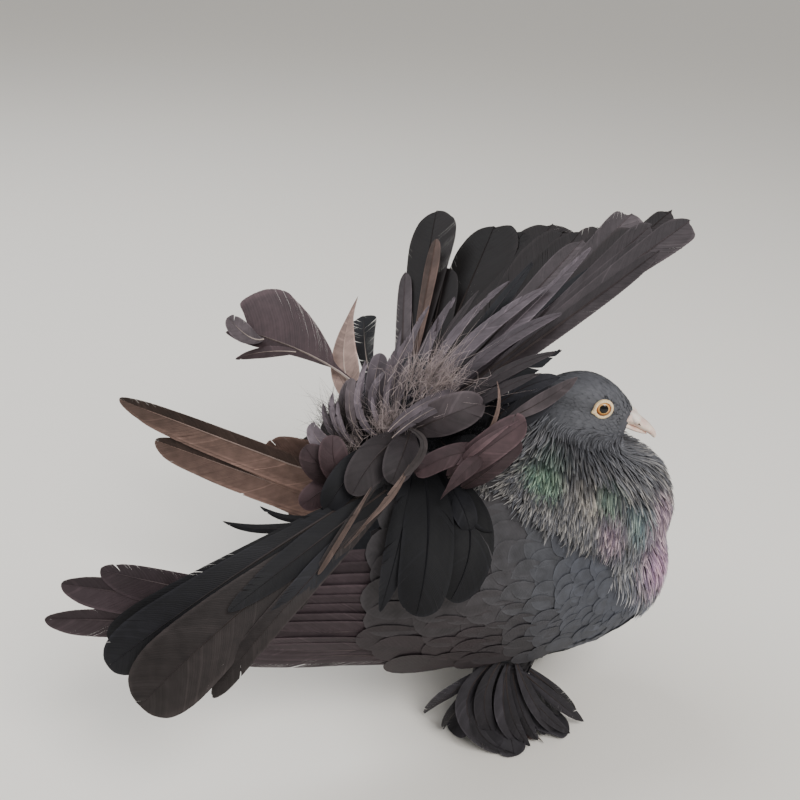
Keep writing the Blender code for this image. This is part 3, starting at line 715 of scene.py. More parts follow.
def scattered(keep, spacing, seed):
    """Even places on the skin where keep says yes."""
    rng = np.random.default_rng(seed)
    first, second, third = skin_corners[:, 0], skin_corners[:, 1], skin_corners[:, 2]
    centres = (first + second + third) / 3
    inside = keep(centres)
    areas = 0.5 * np.linalg.norm(np.cross(second - first, third - first), axis=1) * inside
    throws = int(areas.sum() / spacing ** 2 * 2.6)
    pick = rng.choice(len(areas), throws, p=areas / areas.sum())
    u = rng.random(throws)
    v = rng.random(throws)
    flip = u + v > 1
    u[flip], v[flip] = 1 - u[flip], 1 - v[flip]
    points = first[pick] + (second - first)[pick] * u[:, None] + (third - first)[pick] * v[:, None]
    return thinned(points, spacing)


NECK_SOURCE = Vector((0.06, 0.0, 0.205))
BACKWARD = Vector((-1.0, 0.0, -0.12))


def lie(place):
    """The way the coat lies at a place, before it is laid flat on the skin."""
    from_head = (place - HEAD_CENTRE).length
    head = 1 - clamp((from_head - 0.015) / 0.014)
    edge = float(np.interp(place.x, BIB_X, BIB_Z))
    neck = clamp((place.z - edge + 0.022) / 0.02) * clamp((place.x + 0.02) / 0.03) * (1 - head)
    fall = (place - NECK_SOURCE).normalized()
    low = 1 - clamp((place.z - 0.03) / 0.01)
    way = BACKWARD * (1 - neck) * (1 - head) + fall * neck * 1.6
    way = way + (HEAD_FORWARD * -1.0 + HEAD_UP * -0.25) * head * 1.5
    return way.lerp(Vector((-0.25, 0, -1)), low)


def walks(roots, lengths, prism, lifts, wander, seed):
    """Curves on the skin from the roots along the lie: points, sides and ups for each station."""
    rng = np.random.default_rng(seed)
    sway = rng.normal(0.0, wander, len(roots))
    points, sides, ups = np.empty((3, len(roots), prism.stations, 3))
    steps = np.append(np.diff(prism.shares), 0.0)
    low, high = lifts
    for number, root in enumerate(roots):
        place = Vector(root)
        for station in range(prism.stations):
            found, normal, _, _ = skin_tree.find_nearest(place)
            way = lie(found)
            way = (way - normal * way.dot(normal)).normalized()
            side = way.cross(normal)
            way = (way + side * sway[number]).normalized()
            share = prism.shares[station]
            points[number, station] = found + normal * (low + (high - low) * share)
            sides[number, station] = way.cross(normal)
            ups[number, station] = normal
            place = found + way * (lengths[number] * steps[station])
    return points, sides, ups


def round_spots(points, centre, axis, across, reach):
    """Places of roots on an unwrap round an axis: u is the turn, v the way along."""
    axis = np.array(axis)
    across = np.array(across)
    third = np.cross(axis, across)
    away = points - np.array(centre)
    turn = np.arctan2(away @ third, away @ across) / (2 * math.pi) + 0.5
    along = (away @ axis) / reach + 0.5
    return np.stack([turn, np.clip(along, 0.002, 0.998)], axis=-1)


spans = skin_corners[:, 1:] - skin_corners[:, :1]
SQUARE_CENTIMETRES = 10000
area = float(np.linalg.norm(np.cross(spans[:, 0], spans[:, 1]), axis=1).sum()) / 2 * SQUARE_CENTIMETRES
print("the skin offers", round(area), "cm2")

# %% [markdown]
# ## Head
#
# The feathers of the face are the smallest, only a few millimetres long, and lie so flat that the
# head looks smooth. They shorten towards the bill and leave the ring of the eye bare.

# %% Head feathers
RING_SIDE = 0.0127
EYES = [head_point(0.0, side * RING_SIDE, 0.0) for side in (1, -1)]
EYE_BARE = 0.0049
HEAD_LENGTH = 0.005
HEAD_SPACING = 0.00115
GAPE = 0.0138


def along_head(points):
    return (points - np.array(HEAD_CENTRE)) @ np.array(HEAD_FORWARD)


def on_head(points):
    """The head down to the throat, without the rings of the eyes and the bill's root."""
    away = points - np.array(HEAD_CENTRE)
    high = away @ np.array(HEAD_UP)
    along = along_head(points)
    inside = (np.linalg.norm(away, axis=1) < 0.03) & (points[:, 2] > 0.1575 - 0.25 * (points[:, 0] - 0.07))
    inside &= high > -0.022
    inside &= ~((along > GAPE) & (high > -0.0045) & (high < 0.0042))
    for eye in EYES:
        inside &= np.linalg.norm(points - np.array(eye), axis=1) > EYE_BARE
    return inside


def tinted(points, rng, vary):
    """Body colour at roots, varied feather by feather."""
    return body_colour(points) * (1 + rng.normal(0.0, vary, len(points)))[:, None]


def spread_tint(prism, base, tip, power=1.0):
    """A colour for each vertex from base to tip along the stations."""
    share = prism.shares[prism.station] ** power
    return base[:, None, :] * (1 - share[None, :, None]) + tip[:, None, :] * share[None, :, None]


def make_head_coat():
    rng = np.random.default_rng(11)
    roots = scattered(on_head, HEAD_SPACING, 12)
    along = along_head(roots)
    lengths = HEAD_LENGTH * (1 - 0.5 * ease(0.004, 0.018, along)) * rng.uniform(0.85, 1.15, len(roots))
    points, sides, ups = walks(roots, lengths, small_prism, (0.0, 0.0006), 0.1, 13)
    halves = np.array([0.55, 1.0, 0.8, 0.12])[None, :] * (lengths * 0.22)[:, None]
    places = small_prism.lay(points, sides, ups, halves, 0.00014)
    high = (roots - np.array(HEAD_CENTRE)) @ np.array(HEAD_UP)
    # painted light: the lower head is darker as painted shade, and the crown and each feather's tip lighter
    # as painted highlight
    colour = tinted(roots, rng, 0.05) * (0.8 + 0.2 * ease(-0.008, 0.008, high))[:, None]
    tints = spread_tint(small_prism, colour * 1.42, colour * 1.68)
    spots = round_spots(roots, HEAD_CENTRE, HEAD_FORWARD, HEAD_UP, 0.07)
    coat = Coat("head_coat")
    coat.add(small_prism, places, tints, spots)
    return coat.finish(head_finish, "head_feathers")


make_head_coat()

# %% [markdown]
# ## Neck
#
# The neck carries long narrow feathers whose split, glossy tips stand a little apart, so that
# it looks combed. Each is a thin lock, darkened at its root by painted shade and paled at its tip
# by a painted highlight, and their lengths and lifts vary more than anywhere else on the bird.

# %% Neck feathers
NECK_SPACING = 0.00126
LOCK_HALVES = np.array([[0.7, 1.0, 0.9, 0.6, 0.06]])


def on_neck(points):
    away = head_distance(points)
    inside = (below_bib(points) < 0.002) & (points[:, 0] > 0.006) & (away > 0.0185)
    return inside & (points[:, 2] < 0.1625 - 0.25 * (points[:, 0] - 0.07))


def hackle_tints(roots, grown, rng):
    """Painted shade at the root and a painted highlight at the tip, more so on the longer ones."""
    colour = tinted(roots, rng, 0.16)
    # how much painted highlight each tip takes, at random and more on the longer locks
    tip_highlight = rng.uniform(0.0, 1.0, len(roots)) ** 2.0 * grown
    colour = colour * 1.12
    # the tip's painted highlight: a paler colour blended towards the pale highlight grey
    tip = blend(colour * 1.9, HIGHLIGHT_GREY * (colour / SLATE) ** 0.7 * 2.0, tip_highlight * 0.85)
    # the root is darkened as painted shade, more on the longer locks
    return spread_tint(lock_prism, colour * (1.25 - 0.72 * grown)[:, None], tip, 1.3)


def hackle_coat(name, laid, roots, width, grown, rng):
    """Locks of the neck on their roots, as one coat."""
    places = lock_prism.lay(*laid, LOCK_HALVES * width[:, None], 0.00035)
    tints = hackle_tints(roots, grown, rng)
    spots = round_spots(roots, (0.065, 0, 0.125), (0, 0, 1), (1, 0, 0), 0.14)
    coat = Coat(name)
    coat.add(lock_prism, places, tints, spots)
    return coat.finish(neck_finish, "neck_feathers")


def make_neck_coat():
    rng = np.random.default_rng(21)
    roots = scattered(on_neck, NECK_SPACING, 22)
    away = head_distance(roots)
    grown = ease(0.018, 0.05, away)
    lengths = (0.006 + 0.0065 * grown) * rng.uniform(0.75, 1.2, len(roots))
    points, sides, ups = walks(roots, lengths, lock_prism, (0.0001, 0.002), 0.14, 23)
    lift = rng.uniform(0.0, 0.0012, len(roots))
    share = np.linspace(0, 1, lock_prism.stations) ** 2
    points = points + ups * (lift[:, None] * share[None, :])[..., None]
    width = (0.00038 + 0.00014 * grown) * rng.uniform(0.7, 1.25, len(roots))
    return hackle_coat("neck_coat", (points, sides, ups), roots, width, grown, rng)


make_neck_coat()

# %% [markdown]
# ## Body
#
# Breast, belly, back and rump wear rounded feathers that overlap like tiles. Their edges are a
# little paler than their middles, which draws the scale pattern. Those hidden under the folded
# wings are left out.

# %% Body feathers
BODY_SPACING = 0.0037
UNDER_WING_X = (-0.06, -0.03, 0.0, 0.03, 0.056, 0.074)
UNDER_WING_LOW = (0.067, 0.064, 0.062, 0.06, 0.064, 0.078)
UNDER_WING_HIGH = (0.122, 0.132, 0.143, 0.144, 0.138, 0.122)


def under_wing(points):
    """Places that the folded wings hide."""
    low = np.interp(points[:, 0], UNDER_WING_X, UNDER_WING_LOW)
    high = np.interp(points[:, 0], UNDER_WING_X, UNDER_WING_HIGH)
    outward = np.abs(points[:, 1]) > 0.018
    return outward & (points[:, 2] > low) & (points[:, 2] < high) & (points[:, 0] < 0.07)


def on_hub(points):
    away = points - np.array(FAN_CENTRE)
    return (np.linalg.norm(away, axis=1) < 0.029) & (away @ np.array(FAN_FACE) > 0.006)


def on_body(points):
    inside = (below_bib(points) > -0.004) | (points[:, 0] < 0.008)
    inside &= head_distance(points) > 0.03
    return inside & ~under_wing(points) & ~on_hub(points) & (points[:, 2] > 0.036)


def rimmed(prism, base, rim):
    """Colours of a blade: base in its middle, rim at its sides and towards its tip."""
    across = np.abs(prism.ring[prism.slot, 0])
    share = prism.shares[prism.station]
    edge = np.clip(0.35 * across ** 3 * share + 0.65 * share ** 4, 0, 1)
    return base[:, None, :] * (1 - edge[None, :, None]) + rim[:, None, :] * edge[None, :, None]


def make_body_coat():
    rng = np.random.default_rng(31)
    roots = scattered(on_body, BODY_SPACING, 32)
    breast = ease(0.05, 0.1, roots[:, 0])
    lengths = (0.0175 - 0.0045 * breast) * rng.uniform(0.9, 1.1, len(roots))
    points, sides, ups = walks(roots, lengths, blade_prism, (-0.0001, 0.0008), 0.12, 33)
    back = 1 - ease(-0.01, 0.045, roots[:, 0])
    points = points + ups * (0.001 * back[:, None] * blade_prism.shares[None, :])[..., None]
    width = lengths * rng.uniform(0.34, 0.44, len(roots))
    halves = BLADE_HALVES[None, :] * width[:, None]
    places = blade_prism.lay(points, sides, ups, halves, 0.0001, 0.04)
    colour = tinted(roots, rng, 0.08)
    colour = blend(colour, WING_GREY, 0.6 * back)
    middle, rim = 0.78 - 0.2 * back, 0.86 + 0.14 * back
    tints = rimmed(blade_prism, colour * middle[:, None], colour * rim[:, None])
    spots = round_spots(roots, (0.03, 0, 0.09), (1, 0, 0), (0, 0, 1), 0.22)
    coat = Coat("body_coat")
    coat.add(blade_prism, places, tints, spots, taper=BLADE_HALVES)
    return coat.finish(body_finish, "body_feathers")


make_body_coat()

# %% [markdown]
# ## Large feathers, barb by barb
#
# A flight or tail feather is a shaft with a vane on each side, and each vane is a row of barbs
# hooked together. Where the hooks let go the vane splits, and its tip frays. So a large feather is
# made of its barbs: each leaves the shaft, slants and curves towards the tip and ends on the
# feather's outline. Neighbours in one bunch lean together, and between bunches a slit opens.

# %% Barbed feathers
MILLIMETRE = 0.001
BARB_PITCH = 0.00125
BARB_OVERLAP = 0.03
BARE_SHAFT = 0.03
NEAR_TIP = 0.985
# along the feather, and out from its shaft, as shares of its length and half width
BROAD = ((0.0, 0.08), (0.15, 0.24), (0.4, 0.56), (0.65, 0.86), (0.84, 1.0), (0.945, 0.84), (0.99, 0.46),
         (1.0, 0.0))
LONG = ((0.0, 0.2), (0.1, 0.52), (0.35, 0.92), (0.7, 1.0), (0.9, 0.84), (0.975, 0.48), (1.0, 0.0))
ROUNDED = ((0.0, 0.15), (0.15, 0.48), (0.45, 0.95), (0.7, 1.0), (0.88, 0.8), (0.975, 0.42), (1.0, 0.0))
POINTED = ((0.0, 0.3), (0.2, 0.75), (0.5, 1.0), (0.8, 0.7), (0.95, 0.26), (1.0, 0.0))
LANCE = ((0.0, 0.2), (0.25, 0.75), (0.45, 1.0), (0.65, 0.72), (0.82, 0.3), (0.93, 0.13), (1.0, 0.0))
FLARED = ((0.0, 0.1), (0.3, 0.28), (0.6, 0.62), (0.85, 0.92), (0.96, 1.0), (0.99, 0.6), (1.0, 0.0))
TAPERED = ((0.0, 0.3), (0.2, 0.75), (0.45, 1.0), (0.72, 0.86), (0.9, 0.5), (0.975, 0.22), (1.0, 0.0))
FLAG = ((0.0, 0.03), (0.36, 0.05), (0.466, 0.26), (0.561, 0.466), (0.666, 0.68), (0.763, 0.85),
        (0.832, 0.955), (0.928, 0.87), (1.0, 0.495), (0.93, 0.28), (0.87, 0.1), (0.86, 0.0))


def unit(vectors):
    return vectors / np.linalg.norm(vectors, axis=-1, keepdims=True)


def run_of(line, shares=np.linspace(0, 1, 28)):
    """Points, sides and ups along a feather's line, and its length up to each."""
    pairs = [line(share) for share in shares]
    points = np.array([pair[0] for pair in pairs])
    faces = np.array([pair[1] for pair in pairs])
    ways = unit(np.gradient(points, np.asarray(shares), axis=0))
    sides = unit(np.cross(ways, faces))
    ups = np.cross(sides, ways)
    steps = np.linalg.norm(np.diff(points, axis=0), axis=1)
    return points, sides, ups, np.concatenate([[0], np.cumsum(steps)])


def read_run(values, lengths, at):
    return np.stack([np.interp(at, lengths, values[:, i]) for i in range(3)], axis=-1)


def smooth_outline(outline, total, half):
    """A smooth run through the rows of an outline, round at its tip, with its length so far."""
    rows = np.array(outline, float) * (total, half)
    before = 2 * rows[0] - rows[1]
    after = (rows[-2][0], -rows[-2][1])
    rows = np.vstack([before, rows, after])
    share = np.linspace(0, 1, 24, endpoint=False)[:, None]
    made = []
    for a, b, c, d in zip(rows, rows[1:], rows[2:], rows[3:]):
        made.append(0.5 * (2 * b + (c - a) * share + (2 * a - 5 * b + 4 * c - d) * share ** 2
                           + (3 * b - a - 3 * c + d) * share ** 3))
    made.append(rows[-2:-1])
    run = np.vstack(made)
    run[:, 0] = np.clip(run[:, 0], 0, total)
    run[:, 1] = np.maximum(run[:, 1], 0)
    steps = np.linalg.norm(np.diff(run, axis=0), axis=1)
    return run, np.concatenate([[0], np.cumsum(steps)])


BARB_STATIONS = np.array([0.0, 0.38, 0.76, 1.0])


def add_barbed(coat, line, width, outline, seed, colour, spot, fray=0.25, splits=2, cup=0.1,
               shaft=SHAFT_DARK, shaft_width=0.0009, pitch=BARB_PITCH, lean=1.25, skew=0.0, patch=0.1,
               vane_tone_and_light=(1.0, 1.0), tip_tone=1.0, ragged=0.0):
    """One large feather: its barbs on both sides, side by side without a gap, and its shaft."""
    rng = np.random.default_rng(seed)
    points, sides, ups, lengths = run_of(line)
    total = lengths[-1]
    t = BARB_STATIONS[None, None, :]
    for hand in (-1, 1):
        run, so_far = smooth_outline(outline, total, width / 2 * (1 + hand * skew))
        count = max(8, int(so_far[-1] / pitch))
        numbers = np.arange(count)
        bounds = np.stack([numbers - BARB_OVERLAP, numbers + 1 + BARB_OVERLAP], axis=1)
        reached = np.clip(bounds / count, 0, 1) * so_far[-1]
        ends = np.interp(reached, so_far, run[:, 0])
        outs = np.interp(reached, so_far, run[:, 1])
        roots = np.clip(ends - lean * outs, BARE_SHAFT * total, NEAR_TIP * total)
        knots = np.linspace(0, count, max(4, count // 9))
        torn = np.interp(bounds, np.linspace(0, count, max(4, count // 8)), rng.random(max(4, count // 8)))
        ends = ends - ragged * total * torn * ease(0.7, 1.0, ends / total)
        worn = fray * ease(0.45, 0.95, np.interp(numbers, knots, rng.random(len(knots))))
        worn = worn * ease(0.1, 0.6, ends[:, 0] / total)
        opened = [(count * rng.uniform(0.25, 0.97), rng.uniform(0.2, 0.8) * MILLIMETRE)
                  for _ in range(rng.poisson(splits))]
        shift = np.zeros_like(ends)
        group = np.zeros(count, int)
        for centre, gap in opened:
            beyond = numbers + 0.5 > centre
            group += beyond
            pull = gap * np.exp(-np.abs(bounds - centre) / 7.0)
            shift += np.where(beyond[:, None], pull, -pull)
        level = rng.normal(0.0, 0.00022 + 0.0006 * fray, len(opened) + 1)[group]
        short = 1 - np.abs(rng.normal(0.0, 0.004, count) + worn * rng.normal(0.0, 0.11, count))
        stray = worn * rng.normal(0.0, 0.0016, count)
        out = outs[..., None] * t * short[:, None, None]
        down = roots[..., None] + (ends - roots)[..., None] * (0.62 * t + 0.38 * t ** 2)
        down = down + (shift + stray[:, None])[..., None] * t ** 2
        middle = down.mean(axis=1, keepdims=True)
        down = middle + (down - middle) * (1 - 0.8 * worn[:, None, None] * t ** 3)
        down = np.clip(down, 0, total)
        rise = level[:, None, None] * t ** 2 - cup * out ** 2 / (width + 1e-6) * 2
        rise = rise + 0.00005 * (numbers % 2)[:, None, None]
        at_up = read_run(ups, lengths, down)
        edges = read_run(points, lengths, down) + read_run(sides, lengths, down) * (hand * out)[..., None]
        edges = edges + at_up * rise[..., None]
        keel = edges.mean(axis=1) - at_up.mean(axis=1) * 0.00016
        rows = (edges[:, 0], keel, edges[:, 1]) if hand > 0 else (edges[:, 1], keel, edges[:, 0])
        laid = np.stack(rows, axis=1)[:, barb_prism.slot, barb_prism.station]
        share = np.clip(ends.mean(axis=1) / total, 0, 1)
        # each vane is scaled by its own factor, its tone together with painted light and shade, so one vane
        # reads lighter than the other
        base = np.array(colour)[None, :] * (vane_tone_and_light[0] if hand < 0 else vane_tone_and_light[1])
        base = base * (1 + (tip_tone - 1) * ease(0.45, 1.0, share))[:, None]
        base = base * (1 + rng.normal(0, 0.05, count))[:, None]
        base = base * (1 + rng.normal(0, 0.1, len(opened) + 1)[group])[:, None]
        base = base * (1 + 0.12 * np.interp(numbers, knots, rng.normal(0, 1, len(knots))))[:, None]
        base = base * (1 + 0.3 * (rng.random(count) < 0.04))[:, None]
        tints = np.broadcast_to(base[:, None, :], laid.shape)
        across = np.broadcast_to(0.5 + hand * 0.5 * BARB_STATIONS[barb_prism.station], laid.shape[:2])
        toward = np.stack([bounds[:, 0], bounds.mean(axis=1), bounds[:, 1]], axis=1) / count
        toward = toward if hand > 0 else toward[:, ::-1]
        local = np.stack([across, toward[:, barb_prism.slot] * NEAR_TIP], axis=-1)
        places = np.stack([0.5 + hand * 0.25 * np.ones(count), share], axis=-1)
        spots = np.array(spot)[None, :] + (places - 0.5) * patch
        coat.add(barb_prism, laid, tints, spots, patch * 0.04, local)
    at = np.linspace(0, total * NEAR_TIP, shaft_prism.stations)
    at_point = read_run(points, lengths, at)[None]
    at_side = read_run(sides, lengths, at)[None]
    at_up = read_run(ups, lengths, at)[None]
    halves = (shaft_width * (1 - 0.85 * np.linspace(0, 1, shaft_prism.stations)))[None]
    laid = shaft_prism.lay(at_point + at_up * 0.0001, at_side, at_up, halves, shaft_width * 0.75)
    fade = (shaft_prism.station / (shaft_prism.stations - 1))[None, :, None]
    tints = np.array(shaft)[None, None, :] * (1 - fade) + np.array(colour)[None, None, :] * 1.1 * fade
    coat.add(shaft_prism, laid, tints, np.array([spot]), patch * 0.1)


print("a 150 mm feather has about", 2 * int(0.15 / BARB_PITCH), "barbs")

# %% [markdown]
# ## The fan
#
# A fantail has about thirty tail feathers instead of twelve, and in this pose they stand in a disc
# over the back, with some groups bent down over the wings. A feather's place in the disc is a turn
# round the fan's centre and a lift towards its underside, in degrees. A loose feather is placed by
# where the picture shows its root, middle and tip. On the far side, which the picture hides, more
# feathers are set between the solids' ones, a little behind, to close the disc.

# %% Fan geometry
FAN_ROOT = 0.014
ROLL = math.radians(6)
# where the underside of a feather on the left looks, once it has bent down
BENT_FACE = (0.05, 0.97, 0.25)


def fan_way(turn, lift):
    turn = math.radians(turn)
    lift = math.radians(lift)
    flat = FAN_FORWARD * math.cos(turn) + FAN_LEFT * math.sin(turn)
    return flat * math.cos(lift) + FAN_FACE * math.sin(lift)


def turned(vector, axis, angle):
    return Matrix.Rotation(angle, 3, axis) @ vector


def fan_line(turn, lift, length, sink=0.0, curl=0.0, sway=0.0):
    """A feather of the disc, curling over towards its tip by curl and bending aside by sway."""
    way = fan_way(turn, lift)
    root = FAN_CENTRE + way * FAN_ROOT + FAN_FACE * sink
    tip = FAN_CENTRE + way * length
    leaning = turned(FAN_FACE, way, ROLL)
    aside = way.cross(leaning)

    def place(share):
        bent = leaning * (curl * share ** 3) + aside * (sway * share ** 2)
        face = (leaning - way * (3 * curl / length * share ** 2)).normalized()
        return root.lerp(tip, share) + bent, face
    return place


def bent_line(turn, lift, half_way, tip, side, sink):
    """A feather that leaves the disc and bends down over the wing on one side."""
    end = Vector(tip)
    root = FAN_CENTRE + fan_way(turn, lift) * FAN_ROOT + FAN_FACE * sink
    pull = Vector(half_way) * 2 - (root + end) / 2
    last = Vector((BENT_FACE[0], BENT_FACE[1] * side, BENT_FACE[2])).normalized()
    axis = (end - root).normalized()

    def place(share):
        point = root.lerp(pull, share).lerp(pull.lerp(end, share), share)
        turning = min(share * 1.5, 1.0)
        face = FAN_FACE.lerp(last, turning * turning * (3 - 2 * turning)).normalized()
        return point, turned(face, axis, ROLL * side)
    return place


def placed_line(root, middle, tip, face, roll):
    """A feather through three places, its upper side towards face and rolled a little by its tip."""
    start, on, end = Vector(root), Vector(middle), Vector(tip)
    pull = on * 2 - (start + end) / 2
    axis = (end - start).normalized()

    def place(share):
        point = start.lerp(pull, share).lerp(pull.lerp(end, share), share)
        return point, turned(face, axis, math.radians(roll) * share)
    return place


# %% Fan feathers
# turn, lift, length, width, fray, sink, outline, colour, tone and painted light
TOP_FEATHERS = (
    (7.0, 8, 0.148, 0.014, 0.0, -0.001, BROAD, TAIL_GREY, 0.9),
    (9.5, 7, 0.15, 0.018, 0.1, -0.001, FLARED, TAIL_GREY, 0.8),
    (12.3, 5, 0.165, 0.013, 0.3, -0.001, FLARED, TAIL_BLACK, 1.2),
    (2.6, 9, 0.1655, 0.0185, 0.03, 0.0015, FLARED, TAIL_GREY, 0.88),
    (-0.4, 9, 0.148, 0.012, 0.03, 0.001, LONG, TAIL_GREY, 0.55),
    (20.0, 0, 0.15, 0.022, 0.15, -0.001, FLARED, TAIL_BLACK, 1.6),
    (15.7, 2, 0.1545, 0.018, 0.08, 0.0, FLARED, TAIL_GREY, 1.8),
    (29.0, -2, 0.152, 0.026, 0.12, -0.002, BROAD, TAIL_BLACK, 1.3),
    (25.3, -1, 0.16, 0.0215, 0.1, 0.0, FLARED, TAIL_GREY, 1.2),
    (36.5, -4, 0.147, 0.03, 0.2, -0.003, BROAD, TAIL_BLACK, 1.0),
    (33.0, -3, 0.154, 0.0245, 0.3, 0.0, BROAD, TAIL_BLACK, 1.6),
    (42.0, -4, 0.148, 0.036, 0.2, -0.002, BROAD, TAIL_BLACK, 0.95),
    (33.5, -3, 0.14, 0.019, 0.05, 0.003, BROAD, TAIL_GREY, 1.0),
    (54.5, -5, 0.152, 0.036, 0.1, -0.002, BROAD, TAIL_BLACK, 0.45),
    (48.5, -5, 0.1605, 0.042, 0.06, 0.0015, BROAD, TAIL_BLACK, 0.9),
    (60.3, -4, 0.157, 0.039, 0.03, 0.0, BROAD, TAIL_BLACK, 0.42),
    (65.6, 0, 0.115, 0.02, 0.0, -0.002, LONG, TAIL_BLACK, 0.45),
    (76.7, 6, 0.1145, 0.009, 0.1, 0.001, LONG, TAIL_GREY, 0.85),
    (71.6, 4, 0.161, 0.0285, 0.02, 0.0, BROAD, TAIL_BLACK, 0.65),
    (68.9, 5, 0.128, 0.0085, 0.03, 0.0012, BROAD, BROWN_UNDER, 0.34),
)
# where the picture shows a feather's root, its middle and its tip: pixels across and down, and
# millimetres nearer to the camera than the fan's centre; then its width in millimetres, outline,
# colour, tone and painted light, fray and, where the feather has one, its roll in degrees
UNDERSIDE_FEATHERS = (
    ((440, 400, 2), (520, 330, 5), (602, 262, 6), 13.5, POINTED, JET, 1.1, 0.3),
    ((428, 400, 1), (480, 330, -8), (533, 262, -19), 9.8, POINTED, JET, 1.2, 0.3),
    ((452, 420, 20), (510, 378, 30), (562, 350, 40), 13.4, POINTED, JET, 1.1, 0.3),
    ((440, 402, 11), (505, 345, 12), (586, 283, 17), 8.69, TAPERED, LILAC, 0.9, 0.3),
    ((444, 404, 9), (516, 356, 18), (578, 324, 26), 11.0, POINTED, TAIL_GREY, 0.42, 0.05),
    ((416, 400, -3), (440, 345, -16), (479, 290, -27), 5.99, POINTED, TAIL_GREY, 0.54, 0.2),
    ((432, 402, 10), (500, 338, 15), (591, 247, 9), 10.5, TAPERED, LILAC, 0.78, 0.25),
    ((424, 404, 11), (470, 342, 10), (548, 286, 15), 12.4, TAPERED, LILAC, 0.738, 0.1),
    ((418, 402, 6), (452, 336, -5), (510, 281, -9), 7.8, TAPERED, LILAC, 0.78, 0.3),
    ((436, 408, 19), (488, 352, 25), (562, 313, 36), 9.76, TAPERED, LILAC, 0.55, 0.05),
    ((408, 400, -3), (425, 350, -15), (455, 297, -29), 6.85, TAPERED, LILAC, 0.74, 0.15),
    ((402, 398, -3), (408, 350, -21), (430, 306, -34), 4.79, POINTED, LILAC, 0.78, 0.3),
    ((446, 410, 25), (500, 374, 40), (556, 352, 52), 9.27, TAPERED, TAIL_GREY, 0.46, 0.1),
    ((448, 416, 27), (498, 390, 45), (542, 373, 54), 8.66, POINTED, TAIL_GREY, 0.38, 0.1),
    ((412, 398, -2), (430, 340, -16), (438, 316, -25), 4.29, POINTED, LILAC, 0.94, 0.3),
    ((400, 398, -7), (396, 360, -23), (402, 328, -39), 3.87, POINTED, LILAC, 0.7, 0.3),
)
# far side of the fan: root turn, lift, a place half way, the tip's place, width
FAR_FEATHERS = (
    (100, 10, (-0.004, 0.07, 0.134), (0.006, 0.092, 0.11), 0.028),
    (108, 10, (-0.014, 0.074, 0.13), (-0.014, 0.097, 0.098), 0.03),
    (116, 10, (-0.024, 0.077, 0.126), (-0.034, 0.1, 0.086), 0.03),
    (124, 10, (-0.032, 0.08, 0.118), (-0.056, 0.1, 0.074), 0.028),
    (132, 10, (-0.04, 0.082, 0.114), (-0.078, 0.098, 0.062), 0.026),
)
REAR_FEATHERS = (
    ((370, 485, 32), (225, 570, 62), (109, 640, 58), 14.1, BROAD, JET, 0.8, 0.1),
    ((372, 488, 34), (228, 580, 66), (108, 667, 64), 21.3, BROAD, JET, 0.9, 0.05),
    ((384, 494, 40), (244, 608, 72), (140, 706, 70), 30.7, BROAD, TAIL_BROWN, 0.8, 0.05, 4),
    ((388, 500, 42), (288, 604, 72), (212, 697, 70), 9.69, LONG, TAIL_BROWN, 0.8, 0.2, 10),
    ((388, 500, 40), (300, 590, 70), (240, 672, 68), 8.92, POINTED, JET, 1.2, 0.2, -8),
    ((330, 520, 44), (268, 529, 52), (222, 521, 50), 4.23, POINTED, JET, 0.9, 0),
    ((335, 515, 44), (292, 519, 50), (260, 506, 48), 3.4, POINTED, JET, 0.9, 0),
)
HANGING_FEATHERS = (
    ((412, 466, 28), (402, 530, 46), (380, 612, 50), 11.8, POINTED, JET, 0.8, 0.2),
    ((424, 466, 30), (428, 540, 50), (416, 616, 54), 22.6, LONG, JET, 0.62, 0.1, 4),
    ((438, 470, 28), (470, 530, 46), (450, 601, 50), 20.5, ROUNDED, JET, 0.62, 0.1, -6),
    ((446, 480, 28), (462, 506, 44), (470, 532, 46), 10.3, ROUNDED, JET, 0.9, 0.2),
    ((455, 500, 40), (474, 524, 46), (494, 532, 46), 2.14, POINTED, JET, 0.8, 0),
    ((408, 428, 56), (424, 446, 62), (404, 476, 66), 3.2, LONG, TAIL_BROWN, 1.3, 0, 20),
    ((410, 464, 64), (392, 494, 67), (362, 529, 68), 3.0, LANCE, TAN, 0.55, 0.05, 10),
    ((390, 494, 64), (366, 524, 68), (344, 548, 68), 1.4, LANCE, TAN, 0.3, 0.1, -30),
    ((372, 486, 58), (343, 535, 66), (318, 575, 68), 2.0, LONG, TAN, 0.4, 0.1, 20),
    ((378, 484, 56), (335, 545, 64), (301, 610, 66), 3.67, LONG, TAIL_BROWN, 0.9, 0.3, -15),
)
